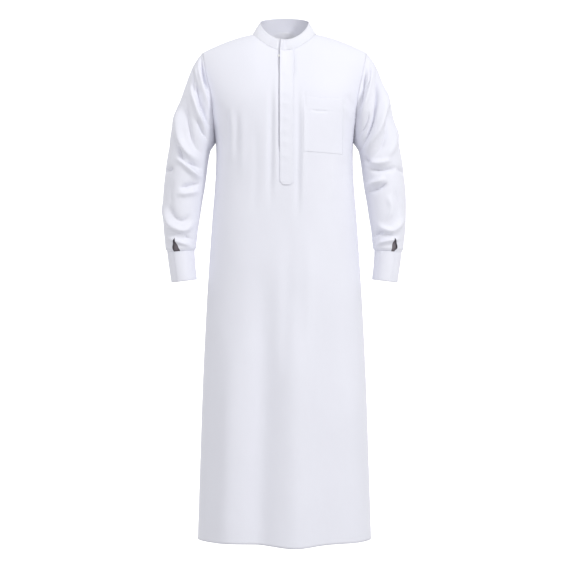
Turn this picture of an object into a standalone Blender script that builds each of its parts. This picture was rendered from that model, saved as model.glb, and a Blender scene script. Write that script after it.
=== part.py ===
"""Thobe robe: a long white gown with a stand collar, half placket, chest pocket and buttoned cuffs.

Metres, +Z up, front facing -Y, wearer's left on +X.
The origin is the middle of the neck hole, level with the sides of the collar seam.
"""
import math
from collections import namedtuple

import bmesh
import bpy
from mathutils import Vector

# ---------------------------------------------------------------- driving sizes
CLOTH_WALL = 0.0012
BAND_WALL = 0.0015
SEAM_GAP = 0.0003

HEM_Z = -1.385
ARMPIT_Z = -0.300
SHOULDER_HALF = 0.226
SHOULDER_START = 0.075
SHOULDER_DROP = 0.0515
SHOULDER_BEND = 1.5
SHOULDER_DEPTH = 0.200
NAPE_RISE = 0.045
NAPE_REACH = 0.088
BODY_ROUNDNESS = 2.3
HEM_DIP = 0.009
HEM_DIP_X = 0.030
HEM_DIP_HALF_WIDTH = 0.075
HEM_DIP_REACH = 0.400

NECK_HALF = 0.088
NECK_FRONT = 0.070
NECK_BACK = 0.058
COLLAR_TOP_HALF = 0.067
COLLAR_TOP_FRONT = 0.0605
COLLAR_TOP_BACK = 0.052
COLLAR_TOP_SIDE_Z = 0.033
COLLAR_TOP_FRONT_Z = -0.022
COLLAR_TOP_BACK_Z = 0.050
COLLAR_FRONT_SWEEP = 1.3
COLLAR_FOOT_GAP = 0.0005
COLLAR_BOW = 0.0008

SLIT_LEFT = -0.0143
SLIT_RIGHT = -0.0127
SLIT_END_Z = -0.334
STRIP_RIGHT = 0.0240
STRIP_END_Z = -0.421
STRIP_CORNER = 0.009
STRIP_LIFT = 0.0032
STRIP_LIFT_WIDTH = 0.014
STRIP_FREE_EDGE = 0.006
STRIP_LIFT_FOOT_Z = -0.125
STRIP_LIFT_HEIGHT = 0.050
UNDER_LEFT = -0.030
UNDER_RIGHT = 0.006
UNDER_END_Z = -0.360

POCKET_LEFT = 0.051
POCKET_RIGHT = 0.158
POCKET_TOP_Z = -0.184
POCKET_BOTTOM_Z = -0.334

BUTTON_X = -0.0135
BUTTON_Z = -0.0690
BUTTON_RADIUS = 0.0045
BUTTON_THICK = 0.0018
BUTTON_STEPS = 16
BUTTON_PROFILE = (
    (0.0, 0.0), (0.80, 0.0), (1.0, 0.35), (1.0, 0.70),
    (0.86, 1.0), (0.68, 0.95), (0.58, 0.70), (0.0, 0.70),
)
SURFACE_PROBE = 0.004

CUFF_LAP_ANGLE = 116.0
CUFF_UNDER_ANGLE = 30.0
CUFF_STEPS = 22
CUFF_LAP_GAP = 0.00045
CUFF_LAP_FADE_START = 30.0
CUFF_LAP_FADE = 60.0
ARMHOLE_GAP = 0.00075
UNDERLAP_FIRST_RING = 11
UNDERLAP_ANGLES = (84.0, 96.0, 108.0, 120.0, 132.0)
UNDERLAP_INSET = 0.0045

# ---------------------------------------------------------------- finishes
Finish = namedtuple("Finish", "colour roughness metallic")
WHITE_CLOTH = Finish((0.80, 0.81, 0.88), 0.62, 0.0)
WHITE_TRIM = Finish((0.82, 0.83, 0.90), 0.60, 0.0)
RESIN = Finish((0.86, 0.86, 0.84), 0.25, 0.0)
DARK_CLOTH = Finish((0.13, 0.115, 0.13), 0.80, 0.0)

# ---------------------------------------------------------------- section tables
BodyRing = namedtuple("BodyRing", "z half_width front_depth back_depth")
BODY_RINGS = (
    BodyRing(-1.385, 0.2385, 0.162, 0.158),
    BodyRing(-1.200, 0.2325, 0.152, 0.149),
    BodyRing(-0.950, 0.2240, 0.141, 0.138),
    BodyRing(-0.730, 0.2130, 0.133, 0.130),
    BodyRing(-0.510, 0.1985, 0.127, 0.122),
    BodyRing(-0.400, 0.1900, 0.128, 0.121),
    BodyRing(-0.300, 0.1890, 0.130, 0.127),
    BodyRing(-0.220, 0.2040, 0.128, 0.127),
    BodyRing(-0.170, 0.2180, 0.122, 0.122),
    BodyRing(-0.108, 0.2340, 0.110, 0.111),
    BodyRing(-0.054, 0.2420, 0.1025, 0.105),
    BodyRing(0.060, 0.2440, 0.100, 0.106),
)

ArmholePoint = namedtuple("ArmholePoint", "z x")
ARMHOLE = (
    ArmholePoint(-0.3000, 0.1890),
    ArmholePoint(-0.2200, 0.1960),
    ArmholePoint(-0.1680, 0.2010),
    ArmholePoint(-0.1080, 0.2150),
    ArmholePoint(-0.0515, 0.2260),
)

SleeveRing = namedtuple("SleeveRing", "outer_x outer_z inner_x inner_z half_depth centre_y keep")
SLEEVE_RINGS = (
    SleeveRing(0.2260, -0.0515, 0.1890, -0.3000, 0.058, 0.000, 1.00),
    SleeveRing(0.2400, -0.0690, 0.1915, -0.3035, 0.064, 0.000, 0.65),
    SleeveRing(0.2560, -0.0980, 0.1945, -0.3075, 0.069, 0.000, 0.30),
    SleeveRing(0.2720, -0.1430, 0.1985, -0.3130, 0.073, 0.000, 0.08),
    SleeveRing(0.2880, -0.1920, 0.2035, -0.3210, 0.074, 0.000, 0.00),
    SleeveRing(0.3020, -0.2410, 0.2075, -0.3370, 0.073, 0.001, 0.00),
    SleeveRing(0.3145, -0.3000, 0.2110, -0.3600, 0.071, 0.002, 0.00),
    SleeveRing(0.3240, -0.3500, 0.2145, -0.3900, 0.069, 0.002, 0.00),
    SleeveRing(0.3300, -0.4000, 0.2190, -0.4250, 0.067, 0.000, 0.00),
    SleeveRing(0.3338, -0.4500, 0.2250, -0.4600, 0.065, -0.003, 0.00),
    SleeveRing(0.3340, -0.5000, 0.2310, -0.5000, 0.062, -0.007, 0.00),
    SleeveRing(0.3320, -0.5400, 0.2370, -0.5370, 0.058, -0.011, 0.00),
    SleeveRing(0.3295, -0.5640, 0.2395, -0.5610, 0.054, -0.013, 0.00),
    SleeveRing(0.3270, -0.5860, 0.2425, -0.5820, 0.050, -0.015, 0.00),
    SleeveRing(0.3220, -0.6000, 0.2460, -0.5950, 0.046, -0.016, 0.00),
)

CuffRing = namedtuple("CuffRing", "outer_x outer_z inner_x inner_z half_depth centre_y")
CUFF_RINGS = (
    CuffRing(0.3218, -0.6007, 0.2462, -0.5957, 0.046, -0.0160),
    CuffRing(0.3165, -0.6420, 0.2440, -0.6350, 0.046, -0.0180),
    CuffRing(0.3100, -0.6835, 0.2395, -0.6750, 0.045, -0.0200),
)

Fold = namedtuple("Fold", "top_x foot_x top_z foot_z half_width height")
FRONT_FOLDS = (
    Fold(0.030, 0.022, -0.800, -1.385, 0.042, 0.0090),
    Fold(-0.060, -0.078, -0.660, -1.385, 0.034, -0.0100),
    Fold(-0.115, -0.128, -0.850, -1.385, 0.026, 0.0050),
    Fold(0.110, 0.100, -0.700, -1.385, 0.045, -0.0050),
    Fold(0.175, 0.190, -0.850, -1.385, 0.030, 0.0060),
    Fold(0.036, 0.035, -0.150, -0.500, 0.010, -0.0022),
)
BACK_FOLDS = (
    Fold(-0.015, -0.040, -0.550, -1.385, 0.040, 0.0090),
    Fold(0.060, 0.055, -0.600, -1.385, 0.034, -0.0090),
    Fold(-0.100, -0.120, -0.700, -1.385, 0.034, -0.0080),
    Fold(0.120, 0.145, -0.700, -1.385, 0.032, 0.0070),
)

SleeveFold = namedtuple("SleeveFold", "angle_start angle_end ring_start ring_end half_width height")
SLEEVE_FOLDS = (
    SleeveFold(150.0, 60.0, 7.3, 8.6, 0.55, -0.0045),
    SleeveFold(150.0, 50.0, 6.0, 7.4, 0.60, 0.0040),
    SleeveFold(120.0, 60.0, 9.2, 9.8, 0.60, 0.0035),
    SleeveFold(210.0, 320.0, 7.6, 8.8, 0.60, -0.0035),
)

# ---------------------------------------------------------------- grid lines of the panels
HALF_COLUMNS = (0.088, 0.105, 0.122, 0.140, 0.158)
FRONT_COLUMNS = (
    -0.0855, -0.079, -0.066, -0.048, UNDER_LEFT, SLIT_LEFT,
    SLIT_RIGHT, -0.006, UNDER_RIGHT, STRIP_RIGHT, 0.036, POCKET_LEFT, 0.066, 0.079, 0.0855,
)
BACK_COLUMNS = (-0.0855, -0.079, -0.066, -0.046, -0.023, 0.0, 0.023, 0.046, 0.066, 0.079, 0.0855)
OUTER_STEPS = 5
LEVEL_ROWS = (
    HEM_Z, -1.250, -1.100, -0.950, -0.800, -0.660, -0.540, -0.460, STRIP_END_Z,
    UNDER_END_Z, SLIT_END_Z, ARMPIT_Z, -0.285, -0.258, -0.218, POCKET_TOP_Z,
)
RISING_ROWS = 5
RISING_POWER = 1.3

VENT_COLUMN = 5
VENT_ANGLE = 108.0
VENT_HALF_ANGLES = {12: 1.2, 13: 15.0, 14: 12.0}

# ---------------------------------------------------------------- helpers


def mix(a, b, t):
    return a + (b - a) * t


def smooth_step(t):
    t = min(1.0, max(0.0, t))
    return t * t * (3.0 - 2.0 * t)


def read_table(table, column, at, key="z"):
    """Cubic interpolation of one column of a table, whose key column rises."""
    keys = [getattr(row, key) for row in table]
    values = [getattr(row, column) for row in table]
    at = min(keys[-1], max(keys[0], at))
    i = max(k for k in range(len(keys) - 1) if keys[k] <= at)

    def slope(k):
        low = max(0, k - 1)
        high = min(len(keys) - 1, k + 1)
        return (values[high] - values[low]) / (keys[high] - keys[low])

    span = keys[i + 1] - keys[i]
    t = (at - keys[i]) / span
    start = values[i] * (2 * t ** 3 - 3 * t ** 2 + 1) + slope(i) * span * (t ** 3 - 2 * t ** 2 + t)
    end = values[i + 1] * (3 * t ** 2 - 2 * t ** 3) + slope(i + 1) * span * (t ** 3 - t ** 2)
    return start + end


# ---------------------------------------------------------------- body form


def shoulder_height(x, side):
    """Height of the shoulder ridge over x; the back (side +1) also rises to the nape."""
    reach = max(0.0, abs(x) - SHOULDER_START) / (SHOULDER_HALF - SHOULDER_START)
    height = -SHOULDER_DROP * reach ** SHOULDER_BEND
    if side > 0 and abs(x) < NAPE_REACH:
        height += NAPE_RISE * math.cos(0.5 * math.pi * x / NAPE_REACH) ** 2
    return height


def depth_column(side):
    return "back_depth" if side > 0 else "front_depth"


def shoulder_rounding(drop):
    left = 1.0 - min(1.0, max(0.0, drop / SHOULDER_DEPTH))
    return math.sqrt(1.0 - left * left)


def fold_height(folds, x, z):
    """Sum of the vertical folds' outward heights at one point of a panel."""
    total = 0.0
    for fold in folds:
        t = (fold.top_z - z) / (fold.top_z - fold.foot_z)
        if t <= 0.0 or t > 1.0001:
            continue
        centre = mix(fold.top_x, fold.foot_x, t)
        to_hem = fold.foot_z <= HEM_Z
        strength = smooth_step(t) if to_hem else math.sin(math.pi * t)
        total += fold.height * strength * math.exp(-((x - centre) / fold.half_width) ** 2)
    return total


def hem_dip(x, z):
    """How much lower the front hangs, most of all at its middle ridge's hem."""
    near_hem = smooth_step(1.0 - (z - HEM_Z) / HEM_DIP_REACH)
    return HEM_DIP * near_hem * math.exp(-((x - HEM_DIP_X) / HEM_DIP_HALF_WIDTH) ** 2)


def body_point(side, x, z):
    """Point of the front (side -1) or back (side +1) surface over x and z."""
    half_width = read_table(BODY_RINGS, "half_width", z)
    depth = read_table(BODY_RINGS, depth_column(side), z)
    ratio = min(1.0, abs(x) / half_width)
    bulge = (1.0 - ratio ** BODY_ROUNDNESS) ** (1.0 / BODY_ROUNDNESS)
    rounding = shoulder_rounding(shoulder_height(x, side) - z)
    y = depth * bulge * rounding
    folds = BACK_FOLDS if side > 0 else FRONT_FOLDS
    lift = fold_height(folds, x, z) * (1.0 - ratio ** 8)
    across = math.copysign(ratio ** (BODY_ROUNDNESS - 1.0) / half_width, x)
    forward = bulge ** (BODY_ROUNDNESS - 1.0) / depth
    length = math.hypot(across, forward)
    height = z - hem_dip(x, z) if side < 0 else z
    x += lift * across / length
    y += lift * forward / length
    return Vector((x, side * max(y, 0.5 * SEAM_GAP), height))


def neck_plan_depth(x, side):
    plan = NECK_BACK if side > 0 else NECK_FRONT
    ratio = min(1.0, abs(x) / NECK_HALF)
    return plan * math.sqrt(1.0 - ratio * ratio)


def neckline_height(x, side):
    """Height where the body surface has the depth of the neck hole's oval."""
    y = neck_plan_depth(x, side)
    top = shoulder_height(x, side)
    z = top
    for _ in range(6):
        half_width = read_table(BODY_RINGS, "half_width", z)
        depth = read_table(BODY_RINGS, depth_column(side), z)
        bulge = (1.0 - (abs(x) / half_width) ** BODY_ROUNDNESS) ** (1.0 / BODY_ROUNDNESS)
        rounding = min(1.0, y / (depth * bulge))
        z = top - SHOULDER_DEPTH * (1.0 - math.sqrt(1.0 - rounding * rounding))
    return z


def edge_half_width(z):
    """x of the side seam or, above the armpit, of the armhole."""
    if z <= ARMPIT_Z:
        return read_table(BODY_RINGS, "half_width", z)
    return read_table(ARMHOLE, "x", z)


def outer_x(z, fraction):
    """x between the last straight column and the panel's edge, even in angle round the side."""
    half_width = read_table(BODY_RINGS, "half_width", z)
    power = 0.5 * BODY_ROUNDNESS
    start = math.acos((HALF_COLUMNS[-1] / half_width) ** power)
    end = math.acos(min(1.0, edge_half_width(z) / half_width) ** power)
    return half_width * math.cos(mix(start, end, fraction)) ** (1.0 / power)


def panel_rows():
    """Row keys: (True, z) for a level row, (False, share of the way up to the top edge)."""
    rows = [(True, z) for z in LEVEL_ROWS]
    for step in range(1, RISING_ROWS + 1):
        rows.append((False, 1.0 - (1.0 - step / RISING_ROWS) ** RISING_POWER))
    return rows


def panel_columns(middle_columns):
    """Column keys from -X to +X: (side of the panel, x or None, share of the outer stretch)."""
    outer = [(step + 1) / OUTER_STEPS for step in range(OUTER_STEPS)]
    columns = [(-1.0, None, share) for share in reversed(outer)]
    columns += [(-1.0, -x, 0.0) for x in reversed(HALF_COLUMNS)]
    columns += [(math.copysign(1.0, x), x, 0.0) for x in middle_columns]
    columns += [(1.0, x, 0.0) for x in HALF_COLUMNS]
    columns += [(1.0, None, share) for share in outer]
    return columns


def grid_point(side, row, column):
    level, place = row
    sign, x, share = column
    if level:
        z = place
        if x is None:
            x = outer_x(z, share)
        return body_point(side, math.copysign(abs(x), sign), z)
    base_z = LEVEL_ROWS[-1]
    edge_z = mix(base_z, -SHOULDER_DROP, place)
    if x is None:
        foot = outer_x(base_z, share)
        head = mix(HALF_COLUMNS[-1], SHOULDER_HALF, share)
        edge_now = read_table(ARMHOLE, "x", edge_z)
        edge_foot = read_table(ARMHOLE, "x", base_z)
        straight = mix(foot, head, place)
        bend = edge_now - mix(edge_foot, SHOULDER_HALF, place)
        x = straight + bend * share
        top_z = shoulder_height(head, -1)
    else:
        x = abs(x)
        top_z = shoulder_height(x, -1) if x >= NECK_HALF else neckline_height(x, side)
    z = mix(base_z, top_z, place)
    return body_point(side, math.copysign(x, sign), z)


def body_grid(side, columns):
    return [[grid_point(side, row, column) for column in columns] for row in panel_rows()]


def grid_normal(grid, r, c):
    """Outward normal of a panel grid whose rows rise and whose columns run left to right."""
    up = grid[min(r + 1, len(grid) - 1)][c] - grid[max(r - 1, 0)][c]
    right = grid[r][min(c + 1, len(grid[0]) - 1)] - grid[r][max(c - 1, 0)]
    return right.cross(up).normalized()


# ---------------------------------------------------------------- meshes and materials


def make_material(name, finish):
    material = bpy.data.materials.new(name + "_material")
    material.use_nodes = True
    shader = material.node_tree.nodes["Principled BSDF"]
    shader.inputs["Base Color"].default_value = (*finish.colour, 1.0)
    shader.inputs["Roughness"].default_value = finish.roughness
    shader.inputs["Metallic"].default_value = finish.metallic
    return material


def add_object(name, bm, finish):
    mesh = bpy.data.meshes.new(name)
    bm.to_mesh(mesh)
    bm.free()
    obj = bpy.data.objects.new(name, mesh)
    bpy.context.scene.collection.objects.link(obj)
    mesh.materials.append(make_material(name, finish))
    mesh.shade_smooth()
    return obj


def cloth_wall(name, grid, finish, wall, closed=False, skip=(), seams_at_middle=False):
    """Wall of cloth whose outer face is the grid and whose thickness goes inward.

    Edges sewn in the plane y = 0 keep their thickness in that plane, clear of the next piece.
    """
    bm = bmesh.new()
    verts = [[bm.verts.new(point) for point in row] for row in grid]
    count = len(grid[0])
    for r in range(len(grid) - 1):
        for c in range(count if closed else count - 1):
            if (r, c) in skip:
                continue
            after = (c + 1) % count
            low, right = verts[r][c], verts[r][after]
            high, far = verts[r + 1][c], verts[r + 1][after]
            bm.faces.new((low, right, far))
            bm.faces.new((low, far, high))
    bmesh.ops.delete(bm, geom=[v for v in bm.verts if not v.link_faces], context="VERTS")
    bm.normal_update()
    inner = {}
    for vert in list(bm.verts):
        inward = -vert.normal
        if seams_at_middle and abs(vert.co.y) < SEAM_GAP:
            inward.y = 0.0
            inward.normalize()
        inner[vert] = bm.verts.new(vert.co + inward * wall)
    rims = [edge.link_loops[0] for edge in bm.edges if edge.is_boundary]
    rim_pairs = [(loop.vert, loop.link_loop_next.vert) for loop in rims]
    for face in list(bm.faces):
        bm.faces.new([inner[vert] for vert in reversed(face.verts)])
    for start, end in rim_pairs:
        bm.faces.new((end, start, inner[start], inner[end]))
    return add_object(name, bm, finish)


# ---------------------------------------------------------------- pieces of the body


def row_index(z):
    return LEVEL_ROWS.index(z)


def column_index(columns, x):
    return next(i for i, column in enumerate(columns) if column[1] == x)


def make_front():
    columns = panel_columns(FRONT_COLUMNS)
    grid = body_grid(-1, columns)
    slit = column_index(columns, SLIT_LEFT)
    skip = {(r, slit) for r in range(row_index(SLIT_END_Z), len(grid) - 1)}
    cloth_wall("front_panel", grid, WHITE_CLOTH, CLOTH_WALL, skip=skip, seams_at_middle=True)
    return grid, columns


def make_back():
    columns = [(-sign, None if x is None else -x, share)
               for sign, x, share in panel_columns(BACK_COLUMNS)]
    grid = body_grid(1, columns)
    cloth_wall("back_panel", grid, WHITE_CLOTH, CLOTH_WALL, seams_at_middle=True)
    return grid, columns


def moved_patch(grid, rows, columns, offset):
    """Points of a panel between two rows and two columns, moved along the panel's normals."""
    return [[grid[r][c] + grid_normal(grid, r, c) * offset(r, c)
             for c in range(columns[0], columns[1] + 1)]
            for r in range(rows[0], rows[1] + 1)]


def strip_lift(point):
    """How far the strip's free edge stands off the panel near the collar."""
    near_edge = 1.0 - smooth_step((point.x - SLIT_RIGHT - STRIP_FREE_EDGE) / STRIP_LIFT_WIDTH)
    near_top = smooth_step((point.z - STRIP_LIFT_FOOT_Z) / STRIP_LIFT_HEIGHT)
    return STRIP_LIFT * near_edge * near_top


def make_front_strip(grid, columns):
    rows = (row_index(STRIP_END_Z), len(grid) - 1)
    across = (column_index(columns, SLIT_RIGHT), column_index(columns, STRIP_RIGHT))

    def offset(r, c):
        return SEAM_GAP + CLOTH_WALL + strip_lift(grid[r][c])

    patch = moved_patch(grid, rows, across, offset)
    patch[0][0].z += STRIP_CORNER
    patch[0][-1].z += STRIP_CORNER
    cloth_wall("front_placket", patch, WHITE_TRIM, CLOTH_WALL)


def make_under_strip(grid, columns):
    rows = (row_index(UNDER_END_Z), len(grid) - 1)
    across = (column_index(columns, UNDER_LEFT), column_index(columns, UNDER_RIGHT))
    patch = moved_patch(grid, rows, across, lambda r, c: -CLOTH_WALL - SEAM_GAP)
    cloth_wall("under_placket", patch, WHITE_TRIM, CLOTH_WALL)


def make_pocket(grid, columns):
    rows = (row_index(POCKET_BOTTOM_Z), row_index(POCKET_TOP_Z))
    across = (column_index(columns, POCKET_LEFT), column_index(columns, POCKET_RIGHT))
    patch = moved_patch(grid, rows, across, lambda r, c: CLOTH_WALL + SEAM_GAP)
    cloth_wall("chest_pocket", patch, WHITE_TRIM, CLOTH_WALL)


def make_button():
    """Turned disc with a raised rim, its back just clear of the front."""
    centre = body_point(-1, BUTTON_X, BUTTON_Z)
    right = body_point(-1, BUTTON_X + SURFACE_PROBE, BUTTON_Z) - centre
    up = body_point(-1, BUTTON_X, BUTTON_Z + SURFACE_PROBE) - centre
    normal = right.cross(up).normalized()
    bm = bmesh.new()
    verts = [bm.verts.new((r * BUTTON_RADIUS, 0.0, h * BUTTON_THICK)) for r, h in BUTTON_PROFILE]
    edges = [bm.edges.new(pair) for pair in zip(verts, verts[1:])]
    bmesh.ops.spin(bm, geom=verts + edges, cent=(0, 0, 0), axis=(0, 0, 1), steps=BUTTON_STEPS,
                   angle=2.0 * math.pi, use_merge=True)
    bmesh.ops.remove_doubles(bm, verts=bm.verts, dist=0.00001)
    bmesh.ops.recalc_face_normals(bm, faces=bm.faces)
    button = add_object("neck_button", bm, RESIN)
    button.location = centre + normal * 2.0 * SEAM_GAP
    button.rotation_mode = "QUATERNION"
    button.rotation_quaternion = normal.to_track_quat("Z", "Y")


# ---------------------------------------------------------------- collar


def collar_top(cosine, sine):
    """Point of the band's top edge; cosine and sine give the place round the neck."""
    if sine >= 0.0:
        depth = COLLAR_TOP_FRONT
        height = mix(COLLAR_TOP_SIDE_Z, COLLAR_TOP_FRONT_Z, sine ** COLLAR_FRONT_SWEEP)
    else:
        depth = COLLAR_TOP_BACK
        height = mix(COLLAR_TOP_SIDE_Z, COLLAR_TOP_BACK_Z, -sine)
    return Vector((COLLAR_TOP_HALF * cosine, -depth * sine, height))


def collar_station(point, shift):
    """Bottom, middle and top of the band over one point of the neckline."""
    depth = NECK_FRONT if point.y < 0.0 else NECK_BACK
    angle = math.atan2(-point.y / depth, point.x / NECK_HALF)
    top = collar_top(math.cos(angle), math.sin(angle))
    outward = Vector((math.cos(angle), -math.sin(angle), 0.0))
    rise = (top - point).normalized()
    low = point + rise * COLLAR_FOOT_GAP + outward * shift
    high = top + outward * shift
    middle = (low + high) * 0.5 + outward * COLLAR_BOW
    return low, middle, high


def make_collar(front, front_columns, back):
    slit = column_index(front_columns, SLIT_RIGHT)
    neck = column_index(front_columns, NECK_HALF)
    opposite = column_index(front_columns, -NECK_HALF)
    under_end = column_index(front_columns, STRIP_RIGHT)
    back_columns = [i for i, p in enumerate(back[-1]) if abs(p.x) < NECK_HALF - COLLAR_FOOT_GAP]
    route = []
    for c in range(slit, neck + 1):
        lift = strip_lift(front[-1][c])
        route.append((front[-1][c].copy(), lift))
    route += [(back[-1][c].copy(), 0.0) for c in back_columns]
    route += [(front[-1][c].copy(), 0.0) for c in range(opposite, slit)]
    inward = -BAND_WALL - 2.0 * SEAM_GAP
    route += [(front[-1][c].copy(), inward) for c in range(slit + 1, under_end + 1)]
    stations = [collar_station(point, shift) for point, shift in route]
    grid = [[station[level] for station in stations] for level in range(3)]
    cloth_wall("collar_band", grid, WHITE_TRIM, BAND_WALL)


# ---------------------------------------------------------------- sleeves and cuffs


def armhole_loop(front, back, sign):
    """Armhole points of one side, from the armpit up the front edge and down the back edge."""
    first = row_index(ARMPIT_Z)
    front_edge = -1 if sign > 0 else 0
    back_edge = 0 if sign > 0 else -1
    rise = [row[front_edge] for row in front[first:]]
    fall = [row[back_edge] for row in back[first:]]
    loop = rise + list(reversed(fall[1:-1]))
    return [Vector((abs(p.x), p.y, p.z)) for p in loop], len(rise) - 1


def loop_angles(loop, top):
    """Angle of each armhole point: 0 at the armpit, 180 at the shoulder tip, by length."""
    ring = loop + [loop[0]]
    lengths = [(b - a).length for a, b in zip(ring, ring[1:])]
    front_length = sum(lengths[:top])
    back_length = sum(lengths[top:])
    angles = []
    travelled = 0.0
    for i in range(len(loop)):
        if i <= top:
            angles.append(180.0 * travelled / front_length)
        else:
            angles.append(180.0 + 180.0 * (travelled - front_length) / back_length)
        travelled += lengths[i]
    return angles


def ring_point(ring, angle, swell=0.0):
    """Point of an oval ring; angle 0 is its inner side, 90 its front and 180 its outer side."""
    turn = math.radians(angle)
    outer = Vector((ring.outer_x, 0.0, ring.outer_z))
    inner = Vector((ring.inner_x, 0.0, ring.inner_z))
    half = (outer - inner) * 0.5
    centre = (outer + inner) * 0.5 + Vector((0.0, ring.centre_y, 0.0))
    reach = half.length + swell
    along = half.normalized() * (-reach * math.cos(turn))
    return centre + along + Vector((0.0, -(ring.half_depth + swell) * math.sin(turn), 0.0))


def sleeve_fold_height(angle, ring_number):
    total = 0.0
    for fold in SLEEVE_FOLDS:
        t = (angle - fold.angle_start) / (fold.angle_end - fold.angle_start)
        if t <= 0.0 or t >= 1.0:
            continue
        centre = mix(fold.ring_start, fold.ring_end, t)
        spread = (ring_number - centre) / fold.half_width
        total += fold.height * math.sin(math.pi * t) * math.exp(-spread * spread)
    return total


def vent_angle(angle, ring_number, column):
    """Columns beside the vent close above it and open along its sides."""
    if ring_number not in VENT_HALF_ANGLES or column not in (VENT_COLUMN, VENT_COLUMN + 1):
        return angle
    turn = VENT_HALF_ANGLES[ring_number]
    return VENT_ANGLE - turn if column == VENT_COLUMN else VENT_ANGLE + turn


def placed(grid, sign):
    """Grid whose angles rise along its rows, put on the wearer's left (sign +1) or right."""
    if sign > 0:
        return [list(reversed(row)) for row in grid]
    return [[Vector((-p.x, p.y, p.z)) for p in row] for row in grid]


def make_sleeve(name, front, back, sign):
    loop, top = armhole_loop(front, back, sign)
    angles = loop_angles(loop, top)
    grid = []
    for number, ring in enumerate(SLEEVE_RINGS):
        row = []
        for column, angle in enumerate(angles):
            turn = vent_angle(angle, number, column)
            point = ring_point(ring, turn, sleeve_fold_height(turn, number))
            if ring.keep > 0.0:
                point += (loop[column] - ring_point(SLEEVE_RINGS[0], angle)) * ring.keep
            if number == 0:
                point.x += ARMHOLE_GAP
            row.append(point)
        grid.append(row)
    last = len(SLEEVE_RINGS) - 1
    vent = VENT_COLUMN if sign < 0 else len(angles) - 2 - VENT_COLUMN
    skip = {(r, vent) for r in range(min(VENT_HALF_ANGLES), last)}
    cloth_wall(name, placed(grid, sign), WHITE_CLOTH, CLOTH_WALL, closed=True, skip=skip)


def make_cuff(name, sign):
    """Band that starts at its free edge, goes once round the wrist and ends under its start."""
    sweep = 360.0 + CUFF_UNDER_ANGLE
    grid = []
    for ring in CUFF_RINGS:
        row = []
        for step in range(CUFF_STEPS + 1):
            turned = sweep * step / CUFF_STEPS
            over = 1.0 - smooth_step((turned - CUFF_LAP_FADE_START) / CUFF_LAP_FADE)
            shift = (BAND_WALL + CUFF_LAP_GAP) * over
            row.append(ring_point(ring, CUFF_LAP_ANGLE - turned, shift))
        grid.append(list(reversed(row)))
    cloth_wall(name, placed(grid, sign), WHITE_TRIM, BAND_WALL)


def make_underlap(name, sign):
    """Dark strip inside the sleeve behind the vent, caught just below the cuff's top."""
    rings = SLEEVE_RINGS[UNDERLAP_FIRST_RING:]
    grid = [[ring_point(ring, angle, -UNDERLAP_INSET) for angle in UNDERLAP_ANGLES] for ring in rings]
    cloth_wall(name, placed(grid, sign), DARK_CLOTH, CLOTH_WALL)


# ---------------------------------------------------------------- build


def main():
    for obj in list(bpy.data.objects):
        bpy.data.objects.remove(obj, do_unlink=True)
    front, front_columns = make_front()
    back, _ = make_back()
    make_front_strip(front, front_columns)
    make_under_strip(front, front_columns)
    make_pocket(front, front_columns)
    make_button()
    make_collar(front, front_columns, back)
    for side_name, sign in (("left", 1), ("right", -1)):
        make_sleeve("sleeve_" + side_name, front, back, sign)
        make_cuff("cuff_" + side_name, sign)
        make_underlap("vent_underlap_" + side_name, sign)
    robe = bpy.data.objects.new("robe", None)
    bpy.context.scene.collection.objects.link(robe)
    for obj in list(bpy.data.objects):
        if obj.type == "MESH":
            obj.parent = robe


main()
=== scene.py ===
import math
from collections import namedtuple

import bmesh
import bpy
import numpy as np
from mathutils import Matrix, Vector


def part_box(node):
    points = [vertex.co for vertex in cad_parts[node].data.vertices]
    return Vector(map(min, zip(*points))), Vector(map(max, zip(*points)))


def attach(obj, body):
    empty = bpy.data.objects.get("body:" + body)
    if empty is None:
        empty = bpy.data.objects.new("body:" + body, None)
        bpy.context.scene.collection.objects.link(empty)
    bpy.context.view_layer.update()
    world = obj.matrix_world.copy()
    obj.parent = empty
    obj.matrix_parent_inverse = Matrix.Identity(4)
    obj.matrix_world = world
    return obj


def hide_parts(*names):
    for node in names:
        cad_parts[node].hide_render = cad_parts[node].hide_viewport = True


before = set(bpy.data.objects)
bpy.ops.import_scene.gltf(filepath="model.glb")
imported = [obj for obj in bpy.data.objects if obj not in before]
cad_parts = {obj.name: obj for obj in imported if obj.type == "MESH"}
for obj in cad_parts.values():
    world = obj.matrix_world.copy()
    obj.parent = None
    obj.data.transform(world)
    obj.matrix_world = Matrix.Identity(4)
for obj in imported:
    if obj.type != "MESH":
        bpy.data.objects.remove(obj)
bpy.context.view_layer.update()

# ---------------------------------------------------------------- sizes shared with the frame (metres)
HEM_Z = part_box("back_panel")[0][2]
ARMPIT_Z = -0.300
SHOULDER_HALF = 0.226
SHOULDER_START = 0.075
SHOULDER_DROP = 0.0515
SHOULDER_BEND = 1.5
SHOULDER_DEPTH = 0.200
NAPE_RISE = 0.045
NECK_HALF = 0.088
NECK_FRONT = 0.070
NECK_BACK = 0.058
ROUNDNESS = 2.3

COLLAR_TOP_HALF = 0.067
COLLAR_TOP_FRONT = 0.0605
COLLAR_TOP_BACK = 0.052
COLLAR_TOP_SIDE_Z = 0.033
COLLAR_TOP_FRONT_Z = -0.022
COLLAR_TOP_BACK_Z = 0.050

SLIT_LEFT = -0.0143
SLIT_RIGHT = -0.0127
SLIT_END_Z = -0.334
STRIP_RIGHT = 0.0240
STRIP_END_Z = -0.421
STRIP_LIFT = 0.0032
UNDER_LEFT = -0.030
UNDER_RIGHT = 0.006
UNDER_END_Z = -0.360
POCKET_LEFT = 0.051
POCKET_RIGHT = 0.158
POCKET_TOP_Z = -0.184
POCKET_BOTTOM_Z = -0.334

CLOTH = 0.0007
DOUBLE_CLOTH = 0.0012
BAND_CLOTH = 0.0016
GAP = 0.0003

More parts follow.
